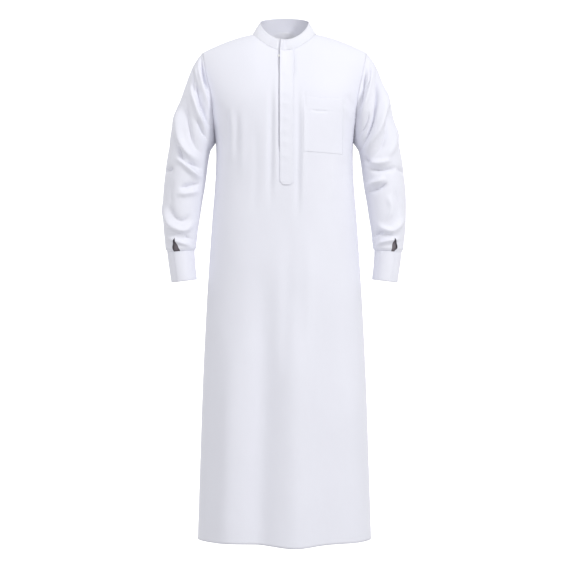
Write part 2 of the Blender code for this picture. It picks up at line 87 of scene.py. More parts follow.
BodyRing = namedtuple("BodyRing", "z half_width front_depth back_depth")
BODY_RINGS = (
    BodyRing(-1.385, 0.2385, 0.162, 0.158),
    BodyRing(-1.200, 0.2325, 0.152, 0.149),
    BodyRing(-0.950, 0.2240, 0.141, 0.138),
    BodyRing(-0.730, 0.2130, 0.133, 0.130),
    BodyRing(-0.510, 0.1985, 0.127, 0.122),
    BodyRing(-0.400, 0.1900, 0.128, 0.121),
    BodyRing(-0.300, 0.1890, 0.130, 0.127),
    BodyRing(-0.220, 0.2040, 0.128, 0.127),
    BodyRing(-0.170, 0.2180, 0.122, 0.122),
    BodyRing(-0.108, 0.2340, 0.110, 0.111),
    BodyRing(-0.054, 0.2420, 0.1025, 0.105),
    BodyRing(0.060, 0.2440, 0.100, 0.106),
)

ArmholePoint = namedtuple("ArmholePoint", "z x")
ARMHOLE = (
    ArmholePoint(-0.3000, 0.1890),
    ArmholePoint(-0.2200, 0.1960),
    ArmholePoint(-0.1680, 0.2010),
    ArmholePoint(-0.1080, 0.2150),
    ArmholePoint(-0.0515, 0.2260),
)

SleeveRing = namedtuple("SleeveRing", "number outer_x outer_z inner_x inner_z half_depth centre_y keep")
SLEEVE_RINGS = (
    SleeveRing(0, 0.2260, -0.0515, 0.1890, -0.3000, 0.058, 0.000, 1.00),
    SleeveRing(1, 0.2400, -0.0690, 0.1915, -0.3035, 0.064, 0.000, 0.65),
    SleeveRing(2, 0.2560, -0.0980, 0.1945, -0.3075, 0.069, 0.000, 0.30),
    SleeveRing(3, 0.2720, -0.1430, 0.1985, -0.3130, 0.073, 0.000, 0.08),
    SleeveRing(4, 0.2880, -0.1920, 0.2035, -0.3210, 0.074, 0.000, 0.00),
    SleeveRing(5, 0.3020, -0.2410, 0.2075, -0.3370, 0.073, 0.001, 0.00),
    SleeveRing(6, 0.3145, -0.3000, 0.2110, -0.3600, 0.071, 0.002, 0.00),
    SleeveRing(7, 0.3240, -0.3500, 0.2145, -0.3900, 0.069, 0.002, 0.00),
    SleeveRing(8, 0.3300, -0.4000, 0.2190, -0.4250, 0.067, 0.000, 0.00),
    SleeveRing(9, 0.3338, -0.4500, 0.2250, -0.4600, 0.065, -0.003, 0.00),
    SleeveRing(10, 0.3340, -0.5000, 0.2310, -0.5000, 0.062, -0.007, 0.00),
    SleeveRing(11, 0.3320, -0.5400, 0.2370, -0.5370, 0.058, -0.011, 0.00),
    SleeveRing(12, 0.3295, -0.5640, 0.2395, -0.5610, 0.054, -0.013, 0.00),
    SleeveRing(13, 0.3270, -0.5860, 0.2425, -0.5820, 0.050, -0.015, 0.00),
    SleeveRing(14, 0.3220, -0.6000, 0.2460, -0.5950, 0.046, -0.016, 0.00),
)
LAST_RING = SLEEVE_RINGS[-1].number

CuffRing = namedtuple("CuffRing", "number outer_x outer_z inner_x inner_z half_depth centre_y")
CUFF_RINGS = (
    CuffRing(0, 0.3218, -0.6007, 0.2462, -0.5957, 0.046, -0.0160),
    CuffRing(1, 0.3165, -0.6420, 0.2440, -0.6350, 0.046, -0.0180),
    CuffRing(2, 0.3100, -0.6835, 0.2395, -0.6750, 0.045, -0.0200),
)
LAST_CUFF = CUFF_RINGS[-1].number
CUFF_LAP_ANGLE = 116.0
CUFF_UNDER_ANGLE = 30.0

# ---------------------------------------------------------------- folds and creases
# A crease is a soft trough (height below 0) or ridge on the front view's x and z, along a smooth
# line through its points; width is its half width, and ends says where it fades out.
Crease = namedtuple("Crease", "height width points ends", defaults=("both",))

CREASE_FADE = 0.36
CREASE_REACH = 3.0
SHARP_FLOOR = 0.12
SHARP_SLOPE = 0.75

SKIRT_FRONT = (
    Crease(0.0150, 0.046, ((0.034, -0.70), (0.030, -1.10), (0.028, -1.40)), "start"),
    Crease(-0.0145, 0.036, ((-0.050, -0.54), (-0.060, -1.00), (-0.070, -1.40)), "start"),
    Crease(0.0085, 0.034, ((-0.134, -0.78), (-0.148, -1.10), (-0.160, -1.40)), "start"),
    Crease(-0.0060, 0.044, ((0.108, -0.68), (0.104, -1.00), (0.100, -1.40)), "start"),
    Crease(0.0066, 0.028, ((0.175, -0.84), (0.184, -1.10), (0.191, -1.40)), "start"),
    Crease(-0.0030, 0.016, ((0.012, -0.50), (0.006, -0.72), (-0.004, -0.98))),
    Crease(0.0026, 0.016, ((0.060, -0.52), (0.066, -0.72), (0.064, -0.95))),
)
CHEST_FRONT = (
    Crease(-0.0054, 0.008, ((0.037, -0.120), (0.038, -0.30), (0.034, -0.54))),
    Crease(0.0034, 0.007, ((0.049, -0.14), (0.051, -0.30), (0.047, -0.52))),
    Crease(-0.0020, 0.0035, ((0.054, -0.160), (0.0545, -0.195), (0.055, -0.225))),
    Crease(-0.0020, 0.0030, ((0.0268, -0.045), (0.0268, -0.085), (0.0270, -0.140))),
    Crease(0.0028, 0.006, ((-0.0225, -0.09), (-0.023, -0.28), (-0.024, -0.47))),
    Crease(-0.0050, 0.008, ((-0.035, -0.12), (-0.036, -0.28), (-0.040, -0.50))),
    Crease(-0.0014, 0.0035, ((-0.0160, -0.06), (-0.0160, -0.20), (-0.0160, -0.36))),
    Crease(-0.0038, 0.009, ((-0.161, -0.20), (-0.155, -0.27), (-0.157, -0.35))),
    Crease(-0.0030, 0.008, ((-0.134, -0.20), (-0.129, -0.27), (-0.132, -0.36))),
    Crease(0.0028, 0.009, ((-0.147, -0.19), (-0.142, -0.27), (-0.145, -0.37))),
    Crease(0.0022, 0.010, ((-0.115, -0.20), (-0.112, -0.30), (-0.118, -0.42))),
    Crease(-0.0020, 0.012, ((-0.080, -0.22), (-0.076, -0.36), (-0.082, -0.52))),
    Crease(-0.0034, 0.007, ((0.168, -0.168), (0.178, -0.190), (0.192, -0.218))),
    Crease(0.0030, 0.008, ((0.158, -0.200), (0.171, -0.222), (0.187, -0.248))),
    Crease(-0.0014, 0.0032, ((0.066, -0.2185), (0.092, -0.2225), (0.124, -0.2215))),
    Crease(-0.0022, 0.009, ((0.150, -0.335), (0.160, -0.380), (0.158, -0.430))),
    Crease(0.0020, 0.011, ((0.125, -0.345), (0.132, -0.410), (0.128, -0.480))),
)
BACK_CREASES = (
    Crease(0.0095, 0.040, ((-0.015, -0.55), (-0.025, -1.00), (-0.040, -1.40)), "start"),
    Crease(-0.0095, 0.034, ((0.060, -0.60), (0.058, -1.00), (0.055, -1.40)), "start"),
    Crease(-0.0085, 0.033, ((-0.100, -0.70), (-0.110, -1.00), (-0.120, -1.40)), "start"),
    Crease(0.0070, 0.031, ((0.120, -0.70), (0.132, -1.00), (0.145, -1.40)), "start"),
    Crease(-0.0040, 0.011, ((-0.070, -0.16), (-0.076, -0.28), (-0.070, -0.46))),
    Crease(0.0034, 0.012, ((-0.045, -0.18), (-0.050, -0.32), (-0.046, -0.52))),
    Crease(-0.0036, 0.010, ((0.086, -0.18), (0.080, -0.30), (0.085, -0.44))),
    Crease(0.0032, 0.012, ((0.112, -0.16), (0.106, -0.28), (0.110, -0.48))),
    Crease(-0.0034, 0.009, ((0.150, -0.15), (0.160, -0.21), (0.182, -0.27))),
    Crease(-0.0036, 0.009, ((-0.146, -0.14), (-0.160, -0.22), (-0.184, -0.28))),
    Crease(0.0030, 0.010, ((-0.130, -0.20), (-0.146, -0.27), (-0.170, -0.33))),
)

# Sleeve creases are on the distance from the middle and z, front and back of each sleeve.
SLEEVE_RIGHT_FRONT = (
    Crease(-0.0052, 0.007, ((0.221, -0.070), (0.212, -0.120), (0.198, -0.180))),
    Crease(0.0046, 0.008, ((0.237, -0.066), (0.226, -0.140), (0.202, -0.225))),
    Crease(-0.0048, 0.008, ((0.247, -0.100), (0.233, -0.180), (0.206, -0.255))),
    Crease(0.0050, 0.009, ((0.257, -0.130), (0.237, -0.215), (0.211, -0.283))),
    Crease(-0.0042, 0.010, ((0.270, -0.165), (0.263, -0.250), (0.244, -0.312), (0.214, -0.338))),
    Crease(0.0052, 0.011, ((0.283, -0.170), (0.287, -0.270), (0.267, -0.327), (0.220, -0.360))),
    Crease(-0.0052, 0.008, ((0.300, -0.285), (0.276, -0.350), (0.245, -0.366), (0.216, -0.376))),
    Crease(0.0050, 0.009, ((0.304, -0.340), (0.274, -0.357), (0.248, -0.385), (0.220, -0.405))),
    Crease(-0.0050, 0.008, ((0.338, -0.372), (0.322, -0.376), (0.300, -0.370)), "end"),
    Crease(-0.0046, 0.008, ((0.290, -0.427), (0.262, -0.421), (0.226, -0.413))),
    Crease(0.0032, 0.009, ((0.296, -0.445), (0.262, -0.440), (0.230, -0.432))),
    Crease(0.0040, 0.010, ((0.336, -0.445), (0.319, -0.513), (0.293, -0.538), (0.267, -0.538),
                           (0.236, -0.505))),
    Crease(-0.0034, 0.011, ((0.318, -0.462), (0.301, -0.504), (0.275, -0.516), (0.250, -0.494))),
    Crease(-0.0034, 0.007, ((0.326, -0.541), (0.287, -0.553), (0.244, -0.568))),
    Crease(0.0026, 0.007, ((0.328, -0.558), (0.290, -0.572), (0.246, -0.586))),
    Crease(-0.0018, 0.008, ((0.246, -0.078), (0.262, -0.125), (0.270, -0.175))),
    Crease(0.0020, 0.010, ((0.290, -0.205), (0.303, -0.270), (0.312, -0.330))),
    Crease(-0.0018, 0.009, ((0.303, -0.400), (0.312, -0.440), (0.306, -0.480))),
    Crease(-0.0044, 0.005, ((0.230, -0.058), (0.223, -0.105), (0.208, -0.165))),
    Crease(0.0024, 0.005, ((0.244, -0.080), (0.240, -0.125), (0.226, -0.175))),
    Crease(-0.0040, 0.006, ((0.256, -0.085), (0.252, -0.135), (0.240, -0.190))),
    Crease(-0.0028, 0.005, ((0.222, -0.200), (0.211, -0.235), (0.198, -0.262))),
    Crease(-0.0030, 0.006, ((0.240, -0.232), (0.222, -0.275), (0.205, -0.298))),
)
SLEEVE_LEFT_FRONT = (
    Crease(-0.0048, 0.007, ((0.222, -0.090), (0.212, -0.165), (0.197, -0.225))),
    Crease(0.0042, 0.008, ((0.237, -0.080), (0.227, -0.170), (0.205, -0.245))),
    Crease(-0.0082, 0.0065, ((0.250, -0.085), (0.256, -0.170), (0.244, -0.235), (0.228, -0.275),
                                     (0.206, -0.330))),
    Crease(0.0052, 0.011, ((0.266, -0.120), (0.275, -0.190), (0.263, -0.250), (0.241, -0.295),
                           (0.208, -0.344))),
    Crease(-0.0040, 0.010, ((0.278, -0.185), (0.281, -0.260), (0.266, -0.312), (0.234, -0.352))),
    Crease(0.0030, 0.011, ((0.304, -0.230), (0.303, -0.290), (0.284, -0.335), (0.262, -0.350))),
    Crease(-0.0046, 0.007, ((0.220, -0.372), (0.254, -0.379), (0.286, -0.375), (0.318, -0.366))),
    Crease(0.0034, 0.009, ((0.222, -0.352), (0.258, -0.358), (0.296, -0.348))),
    Crease(0.0040, 0.009, ((0.219, -0.420), (0.246, -0.411), (0.280, -0.400))),
    Crease(-0.0046, 0.007, ((0.222, -0.438), (0.252, -0.429), (0.284, -0.410))),
    Crease(-0.0032, 0.008, ((0.342, -0.384), (0.325, -0.379), (0.304, -0.371)), "end"),
    Crease(0.0040, 0.009, ((0.248, -0.514), (0.268, -0.536), (0.298, -0.540), (0.333, -0.500))),
    Crease(-0.0040, 0.007, ((0.238, -0.566), (0.258, -0.548), (0.294, -0.557))),
    Crease(0.0030, 0.007, ((0.242, -0.584), (0.275, -0.571), (0.322, -0.563))),
    Crease(-0.0022, 0.010, ((0.298, -0.420), (0.311, -0.470), (0.311, -0.515))),
    Crease(0.0022, 0.009, ((0.281, -0.440), (0.291, -0.485), (0.278, -0.520))),
    Crease(-0.0040, 0.005, ((0.238, -0.075), (0.232, -0.130), (0.219, -0.180))),
    Crease(-0.0028, 0.006, ((0.232, -0.215), (0.219, -0.255), (0.201, -0.285))),
    Crease(-0.0030, 0.006, ((0.216, -0.335), (0.224, -0.350), (0.240, -0.362))),
)
SLEEVE_BACK = (
    Crease(-0.0036, 0.008, ((0.224, -0.090), (0.215, -0.160), (0.199, -0.225))),
    Crease(0.0030, 0.010, ((0.244, -0.090), (0.234, -0.170), (0.206, -0.250))),
    Crease(-0.0046, 0.010, ((0.262, -0.120), (0.256, -0.210), (0.222, -0.295))),
    Crease(0.0046, 0.011, ((0.280, -0.140), (0.281, -0.250), (0.242, -0.325))),
    Crease(-0.0040, 0.009, ((0.218, -0.378), (0.260, -0.366), (0.306, -0.373))),
    Crease(0.0036, 0.010, ((0.220, -0.398), (0.262, -0.391), (0.310, -0.396))),
    Crease(-0.0036, 0.008, ((0.226, -0.442), (0.262, -0.431), (0.304, -0.424))),
    Crease(0.0036, 0.010, ((0.248, -0.515), (0.290, -0.545), (0.330, -0.512))),
    Crease(-0.0030, 0.008, ((0.242, -0.562), (0.285, -0.566), (0.324, -0.553))),
)


def moved(creases, across, up, share):
    """The same creases a little elsewhere and of another depth, for the other sleeve."""
    return tuple(
        c._replace(height=c.height * share, points=tuple((x + across, z + up) for x, z in c.points))
        for c in creases
    )


# ---------------------------------------------------------------- numeric helpers


def mix(a, b, t):
    return a + (b - a) * t


def smooth_step(t):
    t = np.clip(t, 0.0, 1.0)
    return t * t * (3.0 - 2.0 * t)


def read_table(table, column, at, key="z"):
    """Cubic interpolation of one column of a table, whose key column rises."""
    keys = np.array([getattr(row, key) for row in table], float)
    values = np.array([getattr(row, column) for row in table], float)
    slopes = np.empty_like(values)
    slopes[1:-1] = (values[2:] - values[:-2]) / (keys[2:] - keys[:-2])
    slopes[0] = (values[1] - values[0]) / (keys[1] - keys[0])
    slopes[-1] = (values[-1] - values[-2]) / (keys[-1] - keys[-2])
    at = np.clip(at, keys[0], keys[-1])
    i = np.clip(np.searchsorted(keys, at, side="right") - 1, 0, len(keys) - 2)
    span = keys[i + 1] - keys[i]
    t = (at - keys[i]) / span
    start = values[i] * (2 * t ** 3 - 3 * t ** 2 + 1) + slopes[i] * span * (t ** 3 - 2 * t ** 2 + t)
    end = values[i + 1] * (3 * t ** 2 - 2 * t ** 3) + slopes[i + 1] * span * (t ** 3 - t ** 2)
    return start + end


def smooth_line(points, steps=6):
    """Points along a Catmull-Rom curve through the given ones."""
    p = np.array(points, float)
    if len(p) < 3:
        return p
    padded = np.vstack([2 * p[0] - p[1], p, 2 * p[-1] - p[-2]])
    line = []
    for i in range(1, len(padded) - 2):
        a, b, c, d = padded[i - 1:i + 3]
        for t in np.arange(steps) / steps:
            line.append(0.5 * (2 * b + (c - a) * t + (2 * a - 5 * b + 4 * c - d) * t ** 2
                               + (3 * b - a - 3 * c + d) * t ** 3))
    line.append(p[-1])
    return np.array(line)


def crease_height(creases, x, z, narrow=1.0, sharp=False):
    """Sum of the creases' heights over arrays of x and z. Sharp ones have a narrow bottom."""
    total = np.zeros_like(x)
    for crease in creases:
        line = smooth_line(crease.points)
        step = np.diff(line, axis=0)
        lengths = np.linalg.norm(step, axis=1)
        start = np.concatenate([[0.0], np.cumsum(lengths)])
        whole = start[-1]
        reach = CREASE_REACH * crease.width
        near = ((x > line[:, 0].min() - reach) & (x < line[:, 0].max() + reach)
                & (z > line[:, 1].min() - reach) & (z < line[:, 1].max() + reach))
        px, pz = x[near], z[near]
        best = np.full(px.shape, 1e9)
        at = np.zeros(px.shape)
        for k, (point, direction, length) in enumerate(zip(line, step, lengths)):
            dx, dz = px - point[0], pz - point[1]
            t = np.clip((dx * direction[0] + dz * direction[1]) / length ** 2, 0.0, 1.0)
            gap = (dx - t * direction[0]) ** 2 + (dz - t * direction[1]) ** 2
            closer = gap < best
            best = np.where(closer, gap, best)
            at = np.where(closer, start[k] + t * length, at)
        share = at / whole
        strength = np.ones_like(share)
        if crease.ends in ("both", "start"):
            strength *= smooth_step(share / CREASE_FADE)
        if crease.ends in ("both", "end"):
            strength *= smooth_step((1.0 - share) / CREASE_FADE)
        width = narrow * crease.width
        if sharp and crease.height < 0.0:
            floor = SHARP_FLOOR * width
            shape = np.exp((floor - np.sqrt(best + floor ** 2)) / (SHARP_SLOPE * width))
        else:
            shape = np.exp(-best / width ** 2)
        total[near] += crease.height * strength * shape
    return total


Ripple = namedtuple("Ripple", "along_x along_z phase height")
RIPPLES = (
    Ripple(31.0, 7.0, 0.4, 0.00045),
    Ripple(-22.0, 11.0, 1.9, 0.00050),
    Ripple(58.0, -13.0, 2.7, 0.00022),
    Ripple(-71.0, -9.0, 0.9, 0.00016),
    Ripple(17.0, 24.0, 4.1, 0.00040),
    Ripple(95.0, 41.0, 5.2, 0.00008),
)
RIPPLE_BEND = 0.6
RIPPLE_BEND_RATE = 2.3


def ripple_height(u, v):
    """Faint unevenness of worn cloth, from a few long waves."""
    total = np.zeros_like(u)
    for wave in RIPPLES:
        bend = RIPPLE_BEND * np.sin(RIPPLE_BEND_RATE * v + wave.phase)
        total += wave.height * np.sin(wave.along_x * u + wave.along_z * v + wave.phase + bend)
    return total


# ---------------------------------------------------------------- body form


def shoulder_height(x, side):
    reach = np.maximum(0.0, np.abs(x) - SHOULDER_START) / (SHOULDER_HALF - SHOULDER_START)
    height = -SHOULDER_DROP * reach ** SHOULDER_BEND
    if side > 0:
        inside = np.abs(x) < NECK_HALF
        height = height + np.where(inside, NAPE_RISE * np.cos(0.5 * np.pi * x / NECK_HALF) ** 2, 0.0)
    return height


def depth_column(side):
    return "back_depth" if side > 0 else "front_depth"


def body_base(side, x, z):
    """Surface without creases: points, horizontal outward directions and side ratio."""
    half_width = read_table(BODY_RINGS, "half_width", z)
    depth = read_table(BODY_RINGS, depth_column(side), z)
    ratio = np.minimum(1.0, np.abs(x) / half_width)
    bulge = (1.0 - ratio ** ROUNDNESS) ** (1.0 / ROUNDNESS)
    left = 1.0 - np.clip((shoulder_height(x, side) - z) / SHOULDER_DEPTH, 0.0, 1.0)
    rounding = np.sqrt(1.0 - left * left)
    across = np.sign(x) * ratio ** (ROUNDNESS - 1.0) / half_width
    forward = bulge ** (ROUNDNESS - 1.0) / depth
    length = np.hypot(across, forward)
    points = np.stack([x, side * depth * bulge * rounding, z], axis=-1)
    outward = np.stack([across / length, side * forward / length, np.zeros_like(x)], axis=-1)
    return points, outward, ratio, rounding


SIDE_SEAM_POWER = 8
BACK_RIPPLE_SHIFT = 0.7
SHOULDER_CALM = 0.3
SHOULDER_FADE = 0.5


def body_lift(side, x, z, ratio, rounding):
    """Height of creases and ripples, fading out at the side seams and over the shoulders."""
    creases = BACK_CREASES if side > 0 else SKIRT_FRONT + CHEST_FRONT
    from_seams = 1.0 - ratio ** SIDE_SEAM_POWER
    lift = crease_height(creases, x, z) * from_seams
    lift = lift + ripple_height(x + BACK_RIPPLE_SHIFT * side, z) * from_seams
    return lift * smooth_step((rounding - SHOULDER_CALM) / SHOULDER_FADE)


# The front hem dips just to the wearer's left of the middle.
HEM_DIP = 0.009
HEM_DIP_X = 0.030
HEM_DIP_WIDTH = 0.075
HEM_DIP_FADE = 0.40
THINNEST_BODY = 0.0001


def body_surface(side, x, z):
    points, outward, ratio, rounding = body_base(side, x, z)
    points = points + outward * body_lift(side, x, z, ratio, rounding)[..., None]
    if side < 0:
        near_hem = smooth_step(1.0 - (z - HEM_Z) / HEM_DIP_FADE)
        points[..., 2] -= HEM_DIP * near_hem * np.exp(-((x - HEM_DIP_X) / HEM_DIP_WIDTH) ** 2)
    points[..., 1] = side * np.maximum(side * points[..., 1], THINNEST_BODY)
    return points


NECKLINE_STEPS = 6


def neckline_height(x, side):
    """Height of the neck's edge, found step by step where its plan meets the curved shoulder."""
    plan = NECK_BACK if side > 0 else NECK_FRONT
    y = plan * np.sqrt(1.0 - np.minimum(1.0, np.abs(x) / NECK_HALF) ** 2)
    top = shoulder_height(x, side)
    z = top
    for _ in range(NECKLINE_STEPS):
        half_width = read_table(BODY_RINGS, "half_width", z)
        depth = read_table(BODY_RINGS, depth_column(side), z)
        bulge = (1.0 - (np.abs(x) / half_width) ** ROUNDNESS) ** (1.0 / ROUNDNESS)
        rounding = np.minimum(1.0, y / (depth * bulge))
        z = top - SHOULDER_DEPTH * (1.0 - np.sqrt(1.0 - rounding * rounding))
    return z


def edge_half_width(z):
    return np.where(z <= ARMPIT_Z, read_table(BODY_RINGS, "half_width", z), read_table(ARMHOLE, "x", z))


STRAIGHT_HALF = 0.158
LEVEL_TOP = POCKET_TOP_Z
WAIST_Z = -0.56

# Counts of a panel's grid; the outer columns are those of each side, beyond the straight ones.
NECK_COLUMNS = 67
SHOULDER_COLUMNS = 19
OUTER_COLUMNS = 18
SKIRT_ROWS = 118
CHEST_ROWS = 92
RISING_ROWS = 38
RISING_POWER = 1.3
SLIT_ROOM = 0.001


def outer_x(z, share):
    """x from the last straight column, at share 0, round to the panel's edge, at share 1."""
    half_width = read_table(BODY_RINGS, "half_width", z)
    power = 0.5 * ROUNDNESS
    start = np.arccos((STRAIGHT_HALF / half_width) ** power)
    end = np.arccos(np.minimum(1.0, edge_half_width(z) / half_width) ** power)
    return half_width * np.cos(mix(start, end, share)) ** (1.0 / power)


def straight_columns(slit):
    """x of the straight columns: finer towards the neck points, with the slit's two edges."""
    neck = NECK_HALF * np.sin(np.linspace(-0.5 * np.pi, 0.5 * np.pi, NECK_COLUMNS))
    shoulder = np.linspace(NECK_HALF, STRAIGHT_HALF, SHOULDER_COLUMNS)[1:]
    x = np.concatenate([-shoulder[::-1], neck, shoulder])
    if slit:
        x = x[(x < SLIT_LEFT - SLIT_ROOM) | (x > SLIT_RIGHT + SLIT_ROOM)]
        x = np.sort(np.concatenate([x, [SLIT_LEFT, SLIT_RIGHT]]))
    return x


def body_domain(side, slit=False):
    """x and z of a panel's grid, from hem to shoulder and from -X to +X."""
    skirt = np.linspace(HEM_Z, WAIST_Z, SKIRT_ROWS)
    chest = np.linspace(WAIST_Z, LEVEL_TOP, CHEST_ROWS)[1:]
    levels = np.concatenate([skirt, chest])
    straight = straight_columns(slit)
    shares = (np.arange(OUTER_COLUMNS) + 1) / OUTER_COLUMNS
    rows_x, rows_z = [], []
    for z in levels:
        side_x = outer_x(np.full(OUTER_COLUMNS, z), shares)
        rows_x.append(np.concatenate([-side_x[::-1], straight, side_x]))
        rows_z.append(np.full(len(rows_x[-1]), z))
    foot = outer_x(np.full(OUTER_COLUMNS, LEVEL_TOP), shares)
    head = mix(STRAIGHT_HALF, SHOULDER_HALF, shares)
    edge_foot = float(read_table(ARMHOLE, "x", LEVEL_TOP))
    inside = np.abs(straight) < NECK_HALF
    straight_top = np.where(inside, neckline_height(straight, side), shoulder_height(straight, -1))
    head_top = shoulder_height(head, -1)
    for place in 1.0 - (1.0 - np.arange(1, RISING_ROWS + 1) / RISING_ROWS) ** RISING_POWER:
        edge_now = float(read_table(ARMHOLE, "x", mix(LEVEL_TOP, -SHOULDER_DROP, place)))
        bend = edge_now - mix(edge_foot, SHOULDER_HALF, place)
        side_x = mix(foot, head, place) + bend * shares
        side_z = mix(LEVEL_TOP, head_top, place)
        rows_x.append(np.concatenate([-side_x[::-1], straight, side_x]))
        rows_z.append(np.concatenate([side_z[::-1], mix(LEVEL_TOP, straight_top, place), side_z]))
    return np.array(rows_x), np.array(rows_z)


def grid_normals(points):
    """Unit normals of a grid of points: rows go up and columns go right, seen from outside."""
    up = np.gradient(points, axis=0)
    right = np.gradient(points, axis=1)
    normals = np.cross(right, up)
    return normals / np.maximum(np.linalg.norm(normals, axis=-1, keepdims=True), 1e-12)


# ---------------------------------------------------------------- materials


SHEEN_ROUGHNESS = 0.45
HALF_TURN = 3.14159  # a wave texture repeats once per half turn over its scale
WEAVE_RELIEF = 0.0002
THREAD_RELIEF = 0.0001


def new_material(name, colour, roughness, sheen):
    material = bpy.data.materials.new(name)
    material.use_nodes = True
    shader = material.node_tree.nodes["Principled BSDF"]
    shader.inputs["Base Color"].default_value = (*colour, 1.0)
    shader.inputs["Roughness"].default_value = roughness
    shader.inputs["Sheen Weight"].default_value = sheen
    shader.inputs["Sheen Roughness"].default_value = SHEEN_ROUGHNESS
    return material, material.node_tree, shader


def add_node(tree, kind, **values):
    """New shader node with inputs set by name; an underscore stands for the space in a name."""
    node = tree.nodes.new(kind)
    for name, value in values.items():
        node.inputs[name.replace("_", " ")].default_value = value
    return node


def link(tree, source, output, target, entry):
    tree.links.new(source.outputs[output], target.inputs[entry])


def add_bump(tree, shader, source, output, strength, distance):
    """Relief on a shader from the output of another node."""
    bump = add_node(tree, "ShaderNodeBump", Strength=strength, Distance=distance)
    link(tree, source, output, bump, "Height")
    link(tree, bump, "Normal", shader, "Normal")


SLUB_SCALE = (420.0, 26.0, 1.0)


def cloth_material(name, colour, roughness=0.58, sheen=0.12, threads=1500.0, relief=0.10):
    """Fine plain weave from UVs in metres, with slubs, faint tint changes and uneven gloss."""
    material, tree, shader = new_material(name, colour, roughness, sheen)
    shader.inputs["Specular IOR Level"].default_value = 0.35
    uv = add_node(tree, "ShaderNodeUVMap")
    uv.uv_map = "cloth"
    waves = []
    for direction in ("X", "Y"):
        wave = add_node(tree, "ShaderNodeTexWave", Scale=threads / HALF_TURN, Distortion=0.6, Detail=1.0)
        wave.wave_type = "BANDS"
        wave.wave_profile = "SIN"
        wave.bands_direction = direction
        link(tree, uv, "UV", wave, "Vector")
        waves.append(wave)
    weave = add_node(tree, "ShaderNodeMath")
    weave.operation = "MAXIMUM"
    link(tree, waves[0], "Fac", weave, 0)
    link(tree, waves[1], "Fac", weave, 1)
    stretch = add_node(tree, "ShaderNodeMapping", Scale=SLUB_SCALE)
    link(tree, uv, "UV", stretch, "Vector")
    slub = add_node(tree, "ShaderNodeTexNoise", Scale=1.0, Detail=3.0)
    link(tree, stretch, "Vector", slub, "Vector")
    height = add_node(tree, "ShaderNodeMath")
    height.operation = "MULTIPLY_ADD"
    height.inputs[1].default_value = 0.6
    link(tree, slub, "Fac", height, 0)
    link(tree, weave, "Value", height, 2)
    add_bump(tree, shader, height, "Value", relief, WEAVE_RELIEF)
    place = add_node(tree, "ShaderNodeTexCoord")
    cloud = add_node(tree, "ShaderNodeTexNoise", Scale=7.0, Detail=4.0)
    link(tree, place, "Object", cloud, "Vector")
    blend = add_node(tree, "ShaderNodeMath")
    blend.operation = "MULTIPLY_ADD"
    blend.inputs[1].default_value = 0.35
    link(tree, slub, "Fac", blend, 0)
    link(tree, cloud, "Fac", blend, 2)
    tint = add_node(tree, "ShaderNodeValToRGB")
    tint.color_ramp.elements[0].position = 0.35
    tint.color_ramp.elements[0].color = (*(c * 0.985 for c in colour), 1.0)
    tint.color_ramp.elements[1].position = 0.95
    tint.color_ramp.elements[1].color = (*(min(1.0, c * 1.012) for c in colour), 1.0)
    link(tree, blend, "Value", tint, "Fac")
    link(tree, tint, "Color", shader, "Base Color")
    gloss = add_node(tree, "ShaderNodeMapRange", To_Min=roughness - 0.05, To_Max=roughness + 0.06)
    link(tree, cloud, "Fac", gloss, "Value")
    link(tree, gloss, "Result", shader, "Roughness")
    return material


def thread_material(name, colour):
    material, tree, shader = new_material(name, colour, 0.5, 0.2)
    place = add_node(tree, "ShaderNodeTexCoord")
    noise = add_node(tree, "ShaderNodeTexNoise", Scale=900.0)
    link(tree, place, "Object", noise, "Vector")
    add_bump(tree, shader, noise, "Fac", 0.3, THREAD_RELIEF)
    return material


def button_material(name, colour):
    material, tree, shader = new_material(name, colour, 0.22, 0.0)
    shader.inputs["Coat Weight"].default_value = 0.4
    place = add_node(tree, "ShaderNodeTexCoord")
    noise = add_node(tree, "ShaderNodeTexNoise", Scale=300.0, Distortion=1.5)
    link(tree, place, "Object", noise, "Vector")
    ramp = add_node(tree, "ShaderNodeValToRGB")
    ramp.color_ramp.elements[0].color = (*(c * 0.93 for c in colour), 1.0)
    ramp.color_ramp.elements[1].color = (*colour, 1.0)
    link(tree, noise, "Fac", ramp, "Fac")
    link(tree, ramp, "Color", shader, "Base Color")
    return material


WHITE = (0.800, 0.805, 0.880)
# Painted shade: the dark grey of the strip that stands for the shade inside each sleeve, behind its vent.
PAINTED_SHADE_GREY = (0.215, 0.190, 0.212)
BUTTON_WHITE = (0.90, 0.90, 0.89)
robe_cloth = cloth_material("robe_cloth", WHITE)
double_cloth = cloth_material("double_cloth", tuple(c * 1.015 for c in WHITE))
collar_cloth = cloth_material("collar_cloth", WHITE)
let_through = collar_cloth.node_tree.nodes["Principled BSDF"]
let_through.inputs["Subsurface Weight"].default_value = 0.85
let_through.inputs["Subsurface Radius"].default_value = (1.0, 1.0, 1.0)
let_through.inputs["Subsurface Scale"].default_value = 0.0022
# Material of the dark strips of painted shade behind the sleeve vents.
vent_shade_cloth = cloth_material("vent_shade_cloth", PAINTED_SHADE_GREY, roughness=0.8, sheen=0.05)
stitch_thread = thread_material("stitch_thread", (0.80, 0.81, 0.88))
resin = button_material("button_resin", BUTTON_WHITE)

# ---------------------------------------------------------------- meshes


def add_piece(name, mesh, material, node=None):
    piece = bpy.data.objects.new(name, mesh)
    bpy.context.scene.collection.objects.link(piece)
    mesh.materials.append(material)
    mesh.shade_smooth()
    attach(piece, "root")
    if node:
        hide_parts(node)
    return piece


def arc_coordinates(points):
    """UVs in metres: length along the rows and up the columns of a grid."""
    across = np.linalg.norm(np.diff(points, axis=1), axis=-1)
    upward = np.linalg.norm(np.diff(points, axis=0), axis=-1)
    u = np.concatenate([np.zeros((points.shape[0], 1)), np.cumsum(across, axis=1)], axis=1)
    u -= u[:, u.shape[1] // 2][:, None]
    v = np.concatenate([np.zeros((1, points.shape[1])), np.cumsum(upward, axis=0)], axis=0)
    return u, v


